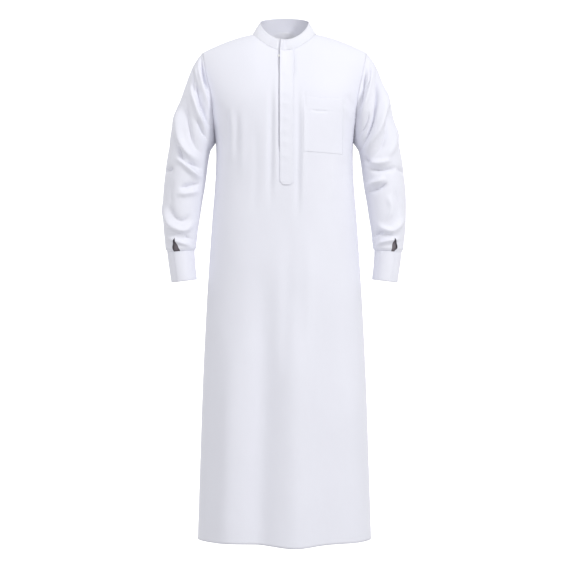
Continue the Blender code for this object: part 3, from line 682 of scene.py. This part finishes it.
def cloth_piece(name, points, material, thickness, node, closed=False, hole=None):
    """Sheet over a grid of points, thickened inward. hole is a mask of quads left out."""
    rows, columns = points.shape[:2]
    count = columns if closed else columns - 1
    u, v = arc_coordinates(points)
    index = np.arange(rows * columns).reshape(rows, columns)
    quads, uvs = [], []
    for r in range(rows - 1):
        for c in range(count):
            if hole is not None and hole[r, c]:
                continue
            d = (c + 1) % columns
            quads.append((index[r, c], index[r, d], index[r + 1, d], index[r + 1, c]))
            step = u[r, c] - u[r, c - 1] if d == 0 else 0.0
            right_low = u[r, c] + step if d == 0 else u[r, d]
            right_high = u[r + 1, c] + step if d == 0 else u[r + 1, d]
            uvs += [(u[r, c], v[r, c]), (right_low, v[r, d]),
                    (right_high, v[r + 1, d]), (u[r + 1, c], v[r + 1, c])]
    mesh = bpy.data.meshes.new(name)
    mesh.from_pydata(points.reshape(-1, 3).tolist(), [], quads)
    layer = mesh.uv_layers.new(name="cloth")
    layer.data.foreach_set("uv", np.array(uvs, np.float32).ravel())
    loose = bmesh.new()
    loose.from_mesh(mesh)
    bmesh.ops.delete(loose, geom=[vert for vert in loose.verts if not vert.link_faces], context="VERTS")
    loose.to_mesh(mesh)
    loose.free()
    piece = add_piece(name, mesh, material, node)
    wall = piece.modifiers.new("Thickness", "SOLIDIFY")
    wall.thickness = thickness
    wall.offset = -1.0
    return piece


STITCH_LENGTH = 0.0024
STITCH_PITCH = 0.0034
STITCH_RADIUS = 0.00022
STITCH_SIDES = 4
STITCH_BENDS = (0.22, 0.78)


def stitch_rows(name, lines):
    """One mesh of many small stitches along lines of (points, normals)."""
    verts, faces = [], []
    for points, normals in lines:
        points = np.asarray(points)
        normals = np.asarray(normals)
        lengths = np.linalg.norm(np.diff(points, axis=0), axis=1)
        along = np.concatenate([[0.0], np.cumsum(lengths)])
        centres = np.arange(0.5 * STITCH_PITCH, along[-1], STITCH_PITCH)
        for centre in centres:
            ends = []
            for at in (centre - 0.5 * STITCH_LENGTH, centre + 0.5 * STITCH_LENGTH):
                ends.append(np.array([np.interp(at, along, points[:, k]) for k in range(3)]))
            normal = np.array([np.interp(centre, along, normals[:, k]) for k in range(3)])
            normal /= np.linalg.norm(normal)
            forward = ends[1] - ends[0]
            forward /= np.linalg.norm(forward)
            sideways = np.cross(normal, forward)
            base = len(verts)
            verts.append(ends[0])
            for share in STITCH_BENDS:
                middle = mix(ends[0], ends[1], share) + normal * STITCH_RADIUS * 0.5
                for turn in range(STITCH_SIDES):
                    angle = 2.0 * np.pi * turn / STITCH_SIDES
                    off = np.cos(angle) * sideways + np.sin(angle) * normal
                    verts.append(middle + STITCH_RADIUS * off)
            verts.append(ends[1])
            near = base + 1
            far = near + STITCH_SIDES
            tip = far + STITCH_SIDES
            for turn in range(STITCH_SIDES):
                after = (turn + 1) % STITCH_SIDES
                faces.append((base, near + after, near + turn))
                faces.append((near + turn, near + after, far + after, far + turn))
                faces.append((far + turn, far + after, tip))
    mesh = bpy.data.meshes.new(name)
    mesh.from_pydata([tuple(v) for v in verts], [], faces)
    return add_piece(name, mesh, stitch_thread, None)


# ---------------------------------------------------------------- front and back


def make_panel(name, side, node):
    x, z = body_domain(side, slit=side < 0)
    points = body_surface(side, x, z)
    hole = None
    if side < 0:
        hole = np.zeros((x.shape[0] - 1, x.shape[1] - 1), bool)
        column = int(np.argmin(np.abs(x[0] - SLIT_LEFT)))
        hole[:, column] = z[:-1, column] >= SLIT_END_Z - SLIT_ROOM
    else:
        points = points[:, ::-1]
    return cloth_piece(name, points, robe_cloth, CLOTH, node, hole=hole)


front = make_panel("robe_front", -1, "front_panel")
back = make_panel("robe_back", 1, "back_panel")


# ---------------------------------------------------------------- strips and pocket laid on the front


def front_patch(x, z, offset):
    """Points over arrays of x and z, moved off the front by offset."""
    points = body_surface(-1, x, z)
    nudge = 0.0004
    right = body_surface(-1, x + nudge, z) - body_surface(-1, x - nudge, z)
    up = body_surface(-1, x, z + nudge) - body_surface(-1, x, z - nudge)
    normals = np.cross(right, up)
    normals /= np.linalg.norm(normals, axis=-1, keepdims=True)
    return points + normals * np.asarray(offset)[..., None], normals


LIFT_EDGE = 0.006
LIFT_EDGE_FADE = 0.014
LIFT_FOOT_Z = -0.125
LIFT_FOOT_FADE = 0.050


def strip_lift(x, z):
    """Near the collar, the strip's free edge stands off the chest over the button."""
    near_edge = 1.0 - smooth_step((x - SLIT_RIGHT - LIFT_EDGE) / LIFT_EDGE_FADE)
    near_top = smooth_step((z - LIFT_FOOT_Z) / LIFT_FOOT_FADE)
    return STRIP_LIFT * near_edge * near_top


def strip_domain(left, right, bottom, columns, rows):
    """x and z of a strip from its bottom up to the neckline."""
    x = np.linspace(left, right, columns)
    top = neckline_height(x, -1)
    share = np.linspace(0.0, 1.0, rows)[:, None]
    return np.broadcast_to(x, (rows, columns)).copy(), mix(bottom, top[None, :], share)


HIDDEN_BUTTONS_Z = (-0.118, -0.172, -0.202, -0.240, -0.275, -0.306, -0.343)
# Each hidden button makes a bump and, a little below it, a wider dimple.
Bump = namedtuple("Bump", "height x below half_width half_height")
BUTTON_BUMPS = (
    Bump(0.0007, 0.002, 0.0, 0.010, 0.006),
    Bump(-0.0004, -0.002, 0.016, 0.016, 0.007),
)


def hidden_button_bumps(x, z):
    """Low bumps where the strip lies over its buttons, and the dimples below them."""
    total = np.zeros_like(x)
    for place in HIDDEN_BUTTONS_Z:
        for bump in BUTTON_BUMPS:
            along = np.exp(-((z - place + bump.below) / bump.half_height) ** 2)
            total += bump.height * along * np.exp(-((x - bump.x) / bump.half_width) ** 2)
    return total


FREE_EDGE_LIFT = 0.0014
FREE_EDGE_WIDTH = 0.005
FREE_EDGE_TOP_Z = -0.06
SEWN_EDGE_LIFT = 0.0011
SEWN_EDGE_WIDTH = 0.004
SEWN_EDGE_FOOT_Z = -0.140
EDGE_LIFT_FADE = 0.03


def edge_lift(x, z):
    """The strip's free edge stands off the slit, and its sewn edge off the chest near the collar."""
    below_top = smooth_step((FREE_EDGE_TOP_Z - z) / EDGE_LIFT_FADE)
    along_slit = below_top * smooth_step((z - SLIT_END_Z) / EDGE_LIFT_FADE)
    free = FREE_EDGE_LIFT * np.exp(-((x - SLIT_RIGHT) / FREE_EDGE_WIDTH) ** 2) * along_slit
    near_collar = smooth_step((z - SEWN_EDGE_FOOT_Z) / EDGE_LIFT_FADE)
    sewn = SEWN_EDGE_LIFT * np.exp(-((x - STRIP_RIGHT) / SEWN_EDGE_WIDTH) ** 2) * near_collar
    return free + sewn


STRIP_COLUMNS = 26
STRIP_ROWS = 190
STRIP_TIP = 0.009
STRIP_TIP_START = 0.45
STRIP_TIP_FADE = 0.55
STRIP_TIP_SHARE = 8.0
STRIP_BOX = 0.034
SEAM_INSET = 2
UNDER_COLUMNS = 20
UNDER_ROWS = 160


def make_placket():
    """Over strip with its rounded lower end, its rows of stitches and the row that boxes its end."""
    x, z = strip_domain(SLIT_RIGHT, STRIP_RIGHT, STRIP_END_Z, STRIP_COLUMNS, STRIP_ROWS)
    corner = np.abs(x - 0.5 * (SLIT_RIGHT + STRIP_RIGHT)) / (0.5 * (STRIP_RIGHT - SLIT_RIGHT))
    share = np.linspace(0.0, 1.0, x.shape[0])[:, None]
    near_tip = np.clip(1.0 - share * STRIP_TIP_SHARE, 0.0, 1.0)
    z = z + STRIP_TIP * smooth_step((corner - STRIP_TIP_START) / STRIP_TIP_FADE) * near_tip
    offset = GAP + DOUBLE_CLOTH + strip_lift(x, z) + hidden_button_bumps(x, z) + edge_lift(x, z)
    points, normals = front_patch(x, z, offset)
    strip = cloth_piece("placket_strip", points, double_cloth, DOUBLE_CLOTH, "front_placket")
    inset = SEAM_INSET
    lines = [
        (points[3:-2, inset], normals[3:-2, inset]),
        (points[3:-2, -1 - inset], normals[3:-2, -1 - inset]),
        (points[3, inset:-inset], normals[3, inset:-inset]),
    ]
    middle = STRIP_COLUMNS // 2 - 1
    box_row = int(np.argmin(np.abs(z[:, middle] - (STRIP_END_Z + STRIP_BOX))))
    lines.append((points[box_row, inset:-inset], normals[box_row, inset:-inset]))
    stitches = stitch_rows("placket_stitches", lines)
    return strip, stitches


def make_under_placket():
    x, z = strip_domain(UNDER_LEFT, UNDER_RIGHT, UNDER_END_Z, UNDER_COLUMNS, UNDER_ROWS)
    points, _ = front_patch(x, z, np.full_like(x, -CLOTH - GAP))
    return cloth_piece("placket_under", points, double_cloth, DOUBLE_CLOTH, "under_placket")


POCKET_TILT = 0.006
POCKET_HEM = 0.034
POCKET_CLOTH = 0.0003
POCKET_SUNK_EDGE = 0.00018
POCKET_EDGE_SHARE = 0.03
POCKET_COLUMNS = 72
POCKET_ROWS = 90
POCKET_MOUTH = 0.0006
POCKET_MOUTH_START = 0.80
POCKET_MOUTH_FADE = 0.2
POCKET_BELLY = 0.0008
POCKET_SAG = 0.0015


def make_pocket():
    """Pressed patch whose mouth and middle stand off a little and whose edges are sewn down."""
    columns, rows = POCKET_COLUMNS, POCKET_ROWS
    x = np.broadcast_to(np.linspace(POCKET_LEFT, POCKET_RIGHT, columns), (rows, columns)).copy()
    share = np.linspace(0.0, 1.0, rows)[:, None]
    across = (x - POCKET_LEFT) / (POCKET_RIGHT - POCKET_LEFT)
    z = mix(POCKET_BOTTOM_Z, POCKET_TOP_Z, share) - POCKET_TILT * (across - 0.5)
    near_mouth = smooth_step((share - POCKET_MOUTH_START) / POCKET_MOUTH_FADE)
    mouth = POCKET_MOUTH * near_mouth * np.sin(np.pi * across)
    belly = POCKET_BELLY * np.sin(np.pi * across) * np.sin(np.pi * share)
    z = z - POCKET_SAG * np.sin(np.pi * across) * share
    inset = np.minimum(np.minimum(across, 1.0 - across), share)
    sunk = POCKET_SUNK_EDGE * (1.0 - smooth_step(inset / POCKET_EDGE_SHARE))
    offset = POCKET_CLOTH + mouth + belly - sunk
    points, normals = front_patch(x, z, offset)
    pocket = cloth_piece("chest_pocket_patch", points, double_cloth, POCKET_CLOTH, "chest_pocket")
    hem = int(np.argmin(np.abs(z[:, 0] - (z[-1, 0] - POCKET_HEM))))
    lines = [
        (points[:, 1], normals[:, 1]),
        (points[:, -2], normals[:, -2]),
        (points[1, 1:-1], normals[1, 1:-1]),
        (points[hem, 1:-1], normals[hem, 1:-1]),
    ]
    return pocket, stitch_rows("pocket_stitches", lines)


placket, placket_stitches = make_placket()
under_placket = make_under_placket()
pocket, pocket_stitches = make_pocket()

# ---------------------------------------------------------------- collar


NECKLINE_COLUMNS = 230


def neckline_route():
    """Points of the neckline from the over end's edge round by wearer's left and back to its start."""
    start = math.acos(SLIT_RIGHT / NECK_HALF)
    under = math.acos(STRIP_RIGHT / NECK_HALF)
    angles = np.linspace(start, under - 2.0 * math.pi, NECKLINE_COLUMNS)
    x = NECK_HALF * np.cos(angles)
    in_front = np.sin(angles) >= 0.0
    z = np.where(in_front, neckline_height(x, -1), neckline_height(x, 1))
    y = -np.where(in_front, NECK_FRONT, NECK_BACK) * np.sin(angles)
    return angles, np.stack([x, y, z], axis=-1)


COLLAR_TOP_POWER = 1.3


def collar_top(angles):
    """Points of the collar's upper edge, lowest in front and highest at the nape."""
    cosine, sine = np.cos(angles), np.sin(angles)
    in_front = sine >= 0.0
    depth = np.where(in_front, COLLAR_TOP_FRONT, COLLAR_TOP_BACK)
    front_z = mix(COLLAR_TOP_SIDE_Z, COLLAR_TOP_FRONT_Z, np.abs(sine) ** COLLAR_TOP_POWER)
    back_z = mix(COLLAR_TOP_SIDE_Z, COLLAR_TOP_BACK_Z, np.abs(sine))
    z = np.where(in_front, front_z, back_z)
    return np.stack([COLLAR_TOP_HALF * cosine, -depth * sine, z], axis=-1)


COLLAR_ROWS = 26
COLLAR_BOW = 0.0010
COLLAR_TUCK_IN = 0.0009
COLLAR_TUCK_DOWN = 0.0014
# Turns, in radians, over which the over end comes in from the strip and the under end goes behind.
OVER_END_START = 0.06
OVER_END_FADE = 0.16
UNDER_END_START = 0.02
UNDER_END_FADE = 0.05
# The inner layer goes further down inside the back of the neck.
COLLAR_FACING = 0.032
COLLAR_FACING_FADE = 0.5
COLLAR_FACING_WAY = (0.0, -0.10, -1.0)
COLLAR_FACING_SHARES = (1.0, 0.8, 0.6, 0.4, 0.2)


def make_collar():
    """Stand collar whose over end lies on the strip and whose under end goes below it."""
    angles, low = neckline_route()
    high = collar_top(angles)
    outward = np.stack([np.cos(angles), -np.sin(angles), np.zeros_like(angles)], axis=-1)
    turned = angles[0] - angles
    shift = STRIP_LIFT * (1.0 - smooth_step((turned - OVER_END_START) / OVER_END_FADE))
    slit_passed = turned - (2.0 * math.pi - UNDER_END_START)
    to_under = smooth_step((slit_passed + UNDER_END_FADE) / UNDER_END_FADE)
    shift = shift - (BAND_CLOTH + 2.0 * GAP) * to_under
    rise = np.linspace(0.0, 1.0, COLLAR_ROWS)[:, None, None]
    points = mix(low + outward * shift[:, None], high + outward * shift[:, None], rise)
    bow = COLLAR_BOW * np.sin(np.pi * rise[..., 0])
    points = points + outward * bow[..., None]
    normals = grid_normals(points)
    points[0] -= COLLAR_TUCK_IN * outward
    points[0, :, 2] -= COLLAR_TUCK_DOWN
    facing = COLLAR_FACING * smooth_step(-np.sin(angles) / COLLAR_FACING_FADE)
    way = np.array(COLLAR_FACING_WAY)
    below = [points[0] + way * (facing * share)[:, None] for share in COLLAR_FACING_SHARES]
    points = np.concatenate([np.array(below), points])
    normals = np.concatenate([np.repeat(normals[:1], len(below), axis=0), normals])
    collar = cloth_piece("stand_collar", points, collar_cloth, BAND_CLOTH, "collar_band")
    foot = len(below) + 2
    lines = [(points[-3], normals[-3]), (points[foot], normals[foot])]
    lines.append((points[foot:-2, 3], normals[foot:-2, 3]))
    return collar, stitch_rows("collar_stitches", lines)


collar, collar_stitches = make_collar()

# ---------------------------------------------------------------- sleeves and cuffs


def ring_point(table, number, angle, swell=0.0):
    """Points of oval rings; angle 0 is the inner side, 90 the front and 180 the outer side."""
    def column(name):
        return read_table(table, name, number, key="number")

    turn = np.radians(angle)
    outer = np.stack([column("outer_x"), np.zeros_like(number), column("outer_z")], axis=-1)
    inner = np.stack([column("inner_x"), np.zeros_like(number), column("inner_z")], axis=-1)
    half = 0.5 * (outer - inner)
    length = np.linalg.norm(half, axis=-1)
    centre = 0.5 * (outer + inner)
    centre[..., 1] += column("centre_y")
    points = centre - half * ((1.0 + swell / length) * np.cos(turn))[..., None]
    points[..., 1] -= (column("half_depth") + swell) * np.sin(turn)
    return points


# The armhole's height in stretches, with more points towards both ends.
Stretch = namedtuple("Stretch", "low high points")
ARMHOLE_STRETCHES = (
    Stretch(ARMPIT_Z, -0.290, 24),
    Stretch(-0.289, -0.060, 80),
    Stretch(-0.0595, -SHOULDER_DROP, 24),
)


def armhole_points(angles):
    """Points of the armhole for angles from the armpit, 0, over the front to the shoulder, 180."""
    z = np.concatenate([np.linspace(*stretch) for stretch in ARMHOLE_STRETCHES])
    x = read_table(ARMHOLE, "x", z)
    loops = []
    for side in (-1, 1):
        edge, _, _, _ = body_base(side, x, z)
        edge[..., 1] = side * np.abs(edge[..., 1])
        length = np.concatenate([[0.0], np.cumsum(np.linalg.norm(np.diff(edge, axis=0), axis=1))])
        loops.append((edge, length / length[-1]))
    (rise, rise_share), (fall, fall_share) = loops
    points = np.empty((len(angles), 3))
    for k in range(3):
        forward = np.interp(angles / 180.0, rise_share, rise[:, k])
        backward = np.interp((360.0 - angles) / 180.0, fall_share, fall[:, k])
        points[:, k] = np.where(angles <= 180.0, forward, backward)
    return points


SLEEVE_DEPTH = 2.6
SLEEVE_NARROW = 0.85
VENT_ANGLE = 108.0
VENT_TOP_RING = 11.9
VENT_SPREAD = 24.0

# Degrees from the vent's middle to its edge on the inner and the outer side, ring by ring.
VentEdge = namedtuple("VentEdge", "number inner outer")
VENT_RIGHT = (
    VentEdge(0.0, 0.0, 0.0),
    VentEdge(11.9, 0.0, 0.0),
    VentEdge(12.5, 7.0, 6.5),
    VentEdge(13.0, 12.5, 10.5),
    VentEdge(13.5, 17.0, 11.5),
    VentEdge(14.0, 20.0, 9.5),
)
VENT_LEFT = (
    VentEdge(0.0, 0.0, 0.0),
    VentEdge(11.9, 0.0, 0.0),
    VentEdge(12.4, 6.0, 8.0),
    VentEdge(12.9, 8.5, 14.0),
    VentEdge(13.3, 9.0, 14.5),
    VentEdge(14.0, 9.5, 4.0),
)


def vent_half_angle(vent, number, away):
    """Degrees from the vent's middle to the edge on the side that away points to."""
    rings = [row.number for row in vent]
    inner = np.interp(number, rings, [row.inner for row in vent])
    outer = np.interp(number, rings, [row.outer for row in vent])
    return np.where(away < 0.0, inner, outer)


FACING_START = 0.004
FACING_FADE = 0.030
SLEEVE_RIPPLE_PACE = 0.0011
SLEEVE_RIPPLE_START = 0.3
SLEEVE_RIPPLE_SHARE = 0.8
ARMHOLE_SEAM_FADE = 0.5
CUFF_SEAM_FADE = 0.25


def sleeve_lift(points, creases_front, creases_back, number, angle):
    """Height of a sleeve's creases and ripples, fading out at the armhole and cuff seams."""
    x, y, z = np.abs(points[..., 0]), points[..., 1], points[..., 2]
    facing_front = smooth_step((-y + FACING_START) / FACING_FADE)
    facing_back = smooth_step((y + FACING_START) / FACING_FADE)
    lift = crease_height(creases_front, x, z, SLEEVE_NARROW, True) * facing_front
    lift = lift + crease_height(creases_back, x, z, SLEEVE_NARROW, True) * facing_back
    ripples = ripple_height(SLEEVE_RIPPLE_PACE * angle + SLEEVE_RIPPLE_START, z)
    lift = SLEEVE_DEPTH * lift + ripples * SLEEVE_RIPPLE_SHARE
    from_armhole = smooth_step(number / ARMHOLE_SEAM_FADE)
    from_cuff = smooth_step((LAST_RING - number) / CUFF_SEAM_FADE)
    return lift * (from_armhole * from_cuff)


SLEEVE_COLUMNS = 132
VENT_COLUMN = 40
VENT_SLIT = 0.02
ARM_ROWS = 170
VENT_ROWS = 56
FINER_FROM_RING = 11.5

# Both ends of the sleeve are tucked under their neighbours, over the last two rows.
ARMHOLE_TUCK_ROWS = (1.0, 0.35)
ARMHOLE_TUCK_IN = 0.0012
ARMHOLE_TUCK_CLOSE = 0.0010
CUFF_TUCK_ROWS = (0.4, 1.0)
CUFF_TUCK_IN = 0.0013
CUFF_TUCK_DOWN = 0.0018

# Troughs may go this deep in the open sleeve and over the dark strip of painted shade behind the vent.
DEEPEST_OPEN = 0.030
DEEPEST_BY_VENT = 0.0024
BY_VENT_RING = 10.6
BY_VENT_RING_FADE = 0.6
BY_VENT_ANGLE = 50.0
BY_VENT_ANGLE_FADE = 14.0

# A low roll of cloth just above the cuff, and the raised rim of the vent.
ROLL_HEIGHT = 0.0016
ROLL_RING = 13.35
ROLL_WIDTH = 0.35
RIM_HEIGHT = 0.0012
RIM_ANGLE = 3.0
RIM_START = 0.3
RIM_FADE = 0.4


def make_sleeve(label, sign, creases_front, creases_back, vent):
    """A sleeve from armhole to cuff seam, made for the wearer's left and mirrored by its sign."""
    columns = SLEEVE_COLUMNS
    half = np.linspace(0.0, VENT_ANGLE, VENT_COLUMN + 1)
    rest = np.linspace(VENT_ANGLE, 360.0, columns - VENT_COLUMN)[:-1]
    column_angles = np.concatenate([half, rest])
    column_angles[VENT_COLUMN] -= VENT_SLIT
    column_angles[VENT_COLUMN + 1] += VENT_SLIT
    arm = np.linspace(0, FINER_FROM_RING, ARM_ROWS)
    numbers = np.concatenate([arm, np.linspace(FINER_FROM_RING, LAST_RING, VENT_ROWS)[1:]])
    number, angle = np.meshgrid(numbers, column_angles, indexing="ij")
    away = angle - VENT_ANGLE
    push = vent_half_angle(vent, number, away) * np.exp(-np.abs(away) / VENT_SPREAD)
    turned = angle + np.sign(away) * push
    base = ring_point(SLEEVE_RINGS, number, turned)
    first = ring_point(SLEEVE_RINGS, np.zeros_like(column_angles), column_angles)
    keep = read_table(SLEEVE_RINGS, "keep", number, key="number")
    base = base + keep[..., None] * (armhole_points(column_angles) - first)[None, :, :]
    tuck = np.array(ARMHOLE_TUCK_ROWS)[:, None]
    base[:2, :, 0] -= ARMHOLE_TUCK_IN * tuck
    towards = base[:2].mean(axis=1, keepdims=True) - base[:2]
    distance = np.linalg.norm(towards, axis=-1, keepdims=True)
    base[:2] += ARMHOLE_TUCK_CLOSE * tuck[..., None] * towards / distance
    outward = grid_normals(base[:, ::-1][::-1])[::-1][:, ::-1]
    normal_sign = np.sign(np.sum(outward * (base - base.mean(axis=1, keepdims=True)), axis=-1))
    outward = outward * np.where(normal_sign.mean() < 0, -1.0, 1.0)
    shared = outward[:, VENT_COLUMN] + outward[:, VENT_COLUMN + 1]
    shared = shared / np.linalg.norm(shared, axis=-1, keepdims=True)
    outward[:, VENT_COLUMN] = outward[:, VENT_COLUMN + 1] = shared
    lift = sleeve_lift(base, creases_front, creases_back, number, angle)
    by_ring = smooth_step((number - BY_VENT_RING) / BY_VENT_RING_FADE)
    by_vent = by_ring * smooth_step((BY_VENT_ANGLE - np.abs(away)) / BY_VENT_ANGLE_FADE)
    deepest = mix(DEEPEST_OPEN, DEEPEST_BY_VENT, by_vent)
    lift = np.where(lift < 0.0, deepest * np.tanh(lift / deepest), lift)
    lift = lift + ROLL_HEIGHT * np.exp(-((number - ROLL_RING) / ROLL_WIDTH) ** 2)
    below_top = smooth_step((number - VENT_TOP_RING + RIM_START) / RIM_FADE)
    rim = RIM_HEIGHT * np.exp(-(np.abs(away) / RIM_ANGLE) ** 2) * below_top
    points = base + outward * (lift + rim)[..., None]
    tuck = np.array(CUFF_TUCK_ROWS)[:, None]
    points[-2:] -= CUFF_TUCK_IN * tuck[..., None] * outward[-2:]
    points[-2:, :, 2] -= CUFF_TUCK_DOWN * tuck
    hole = np.zeros((len(numbers) - 1, columns), bool)
    hole[:, VENT_COLUMN] = numbers[:-1] >= VENT_TOP_RING
    points[..., 0] *= sign
    if sign > 0:
        points = points[:, ::-1]
        hole = np.roll(hole[:, ::-1], -1, axis=1)
    return cloth_piece("sleeve_cloth_" + label, points, robe_cloth, CLOTH, "sleeve_" + label,
                       closed=True, hole=hole)


CUFF_COLUMNS = 150
CUFF_ROWS = 34
LAP_FLAT = 30.0
LAP_FADE = 60.0


def make_cuff(label, sign):
    """Cuff that starts at its over end, goes round and ends under its start."""
    turned = np.linspace(0.0, 360.0 + CUFF_UNDER_ANGLE, CUFF_COLUMNS)
    numbers = np.linspace(0.0, LAST_CUFF, CUFF_ROWS)
    number, angle = np.meshgrid(numbers, CUFF_LAP_ANGLE - turned, indexing="ij")
    shift = (BAND_CLOTH + 1.5 * GAP) * (1.0 - smooth_step((turned - LAP_FLAT) / LAP_FADE))
    points = ring_point(CUFF_RINGS, number, angle, np.broadcast_to(shift, number.shape))
    points[..., 0] *= sign
    normals = grid_normals(points)
    centre = points.mean(axis=1, keepdims=True)
    normals = normals * np.sign(np.sum(normals * (points - centre), axis=-1).mean())
    if sign < 0:
        points = points[:, ::-1]
        normals = normals[:, ::-1]
    cuff = cloth_piece("cuff_cloth_" + label, points, double_cloth, BAND_CLOTH, "cuff_" + label)
    edge = 3 if sign > 0 else -4
    lines = [(points[2], normals[2]), (points[-3], normals[-3])]
    lines.append((points[2:-2, edge], normals[2:-2, edge]))
    return cuff, stitch_rows("cuff_stitches_" + label, lines)


# Where the dark strip of painted shade lies inside each sleeve, behind its vent.
SHADE_SHEET_FIRST_RING = 11
SHADE_SHEET_INNER_ANGLE = 84.0
SHADE_SHEET_OUTER_ANGLE = 132.0
SHADE_SHEET_POINTS = 30
SHADE_SHEET_BEHIND = 0.0045


def make_vent_shade_sheet(label, sign):
    """Dark grey strip inside the sleeve, behind the vent: painted shade for the hollow seen through the
    vent.
    """
    rings = np.linspace(SHADE_SHEET_FIRST_RING, LAST_RING, SHADE_SHEET_POINTS)
    angles = np.linspace(SHADE_SHEET_INNER_ANGLE, SHADE_SHEET_OUTER_ANGLE, SHADE_SHEET_POINTS)
    number, angle = np.meshgrid(rings, angles, indexing="ij")
    points = ring_point(SLEEVE_RINGS, number, angle, np.full_like(number, -SHADE_SHEET_BEHIND))
    points[..., 0] *= sign
    if sign > 0:
        points = points[:, ::-1]
    return cloth_piece("vent_painted_shade_" + label, points, vent_shade_cloth, CLOTH, "vent_underlap_" + label)


sleeve_left = make_sleeve("left", 1, SLEEVE_LEFT_FRONT, SLEEVE_BACK, VENT_LEFT)
right_back = moved(SLEEVE_BACK, across=0.003, up=-0.009, share=0.85)
sleeve_right = make_sleeve("right", -1, SLEEVE_RIGHT_FRONT, right_back, VENT_RIGHT)
cuff_left, cuff_left_stitches = make_cuff("left", 1)
cuff_right, cuff_right_stitches = make_cuff("right", -1)
# Dark strips of painted shade inside both sleeves, behind the vents.
vent_shade_left = make_vent_shade_sheet("left", 1)
vent_shade_right = make_vent_shade_sheet("right", -1)

# ---------------------------------------------------------------- button


# The button's half section, from the middle of its back round its rim to the middle of its face.
ButtonPoint = namedtuple("ButtonPoint", "radius height")
BUTTON_PROFILE = (
    ButtonPoint(0.0, 0.0),
    ButtonPoint(0.0034, 0.0),
    ButtonPoint(0.0043, 0.0005),
    ButtonPoint(0.0045, 0.0011),
    ButtonPoint(0.0042, 0.0017),
    ButtonPoint(0.0036, 0.0018),
    ButtonPoint(0.0031, 0.0015),
    ButtonPoint(0.0027, 0.0012),
    ButtonPoint(0.0, 0.0012),
)
BUTTON_HALF_THICK = 0.0009
BUTTON_STEPS = 40
MERGE_DISTANCE = 0.00001


def make_button():
    """Small round button with a raised rim and a dished middle, half under the strip's edge."""
    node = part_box("neck_button")
    centre = 0.5 * (Vector(node[0]) + Vector(node[1]))
    bm = bmesh.new()
    verts = [bm.verts.new((r, 0.0, h - BUTTON_HALF_THICK)) for r, h in BUTTON_PROFILE]
    edges = [bm.edges.new(pair) for pair in zip(verts, verts[1:])]
    bmesh.ops.spin(bm, geom=verts + edges, cent=(0, 0, 0), axis=(0, 0, 1), steps=BUTTON_STEPS,
                   angle=2.0 * math.pi, use_merge=True)
    bmesh.ops.remove_doubles(bm, verts=bm.verts, dist=MERGE_DISTANCE)
    bmesh.ops.recalc_face_normals(bm, faces=bm.faces)
    _, normals = front_patch(np.array([centre.x]), np.array([centre.z]), np.zeros(1))
    turn = Vector(normals[0]).to_track_quat("Z", "Y")
    bmesh.ops.transform(bm, matrix=turn.to_matrix().to_4x4(), verts=bm.verts)
    bmesh.ops.translate(bm, vec=centre, verts=bm.verts)
    mesh = bpy.data.meshes.new("button_disc")
    bm.to_mesh(mesh)
    bm.free()
    return add_piece("button_disc", mesh, resin, "neck_button")


button = make_button()

# ---------------------------------------------------------------- floor, light and camera
CAMERA_X = 0.0014
CAMERA_Z = -0.690
CAMERA_DISTANCE = 5.5
VIEW_WIDTH = 1.5675
FLOOR_Z = -3.0
BACKDROP_Y = 9.0
WORLD_LIGHT = 0.60
STUDIO_GREY = (0.85, 0.85, 0.85)
STUDIO_ROUGHNESS = 0.9
FLOOR_HALF = 30.0
BACKDROP_HALF = 7.0
BACKDROP_TOP = 5.0
BACKDROP_GLOW = 1.0


def make_sheet_of_studio(name, corners, glow):
    mesh = bpy.data.meshes.new(name)
    mesh.from_pydata(corners, [], [(0, 1, 2, 3)])
    material, _, shader = new_material(name, STUDIO_GREY, STUDIO_ROUGHNESS, 0.0)
    shader.inputs["Emission Color"].default_value = (1.0, 1.0, 1.0, 1.0)
    shader.inputs["Emission Strength"].default_value = glow
    mesh.materials.append(material)
    piece = bpy.data.objects.new(name, mesh)
    bpy.context.scene.collection.objects.link(piece)


def make_studio():
    half = FLOOR_HALF
    floor = [(-half, -half, FLOOR_Z), (half, -half, FLOOR_Z), (half, half, FLOOR_Z), (-half, half, FLOOR_Z)]
    make_sheet_of_studio("studio_floor", floor, 0.0)
    across, top = BACKDROP_HALF, BACKDROP_TOP
    wall = [(-across, BACKDROP_Y, FLOOR_Z), (across, BACKDROP_Y, FLOOR_Z),
            (across, BACKDROP_Y, top), (-across, BACKDROP_Y, top)]
    make_sheet_of_studio("studio_backdrop", wall, BACKDROP_GLOW)


def make_light(name, location, target, size, power):
    data = bpy.data.lights.new(name, "AREA")
    data.shape = "DISK"
    data.size = size
    data.energy = power
    light = bpy.data.objects.new(name, data)
    light.location = location
    direction = Vector(target) - Vector(location)
    light.rotation_euler = direction.to_track_quat("-Z", "Y").to_euler()
    bpy.context.scene.collection.objects.link(light)


def make_world():
    world = bpy.data.worlds.new("studio")
    world.use_nodes = True
    background = world.node_tree.nodes["Background"]
    background.inputs["Color"].default_value = (1.0, 1.0, 1.0, 1.0)
    background.inputs["Strength"].default_value = WORLD_LIGHT
    bpy.context.scene.world = world


def make_camera():
    data = bpy.data.cameras.new("camera")
    data.sensor_width = 36.0
    data.lens = data.sensor_width * CAMERA_DISTANCE / VIEW_WIDTH
    camera = bpy.data.objects.new("camera", data)
    camera.location = (CAMERA_X, -CAMERA_DISTANCE, CAMERA_Z)
    camera.rotation_euler = (math.radians(90.0), 0.0, 0.0)
    bpy.context.scene.collection.objects.link(camera)
    bpy.context.scene.camera = camera


make_studio()
make_world()
make_light("key_right", (3.6, -3.2, 1.9), (0.0, 0.0, -0.6), 0.9, 104.0)
make_light("fill_left", (-3.4, -2.2, 2.0), (0.0, 0.0, -0.6), 2.0, 38.0)
make_light("key_top", (0.5, -3.0, 3.2), (0.0, 0.0, -0.2), 1.2, 34.0)
make_camera()
bpy.context.scene.view_settings.view_transform = "Standard"
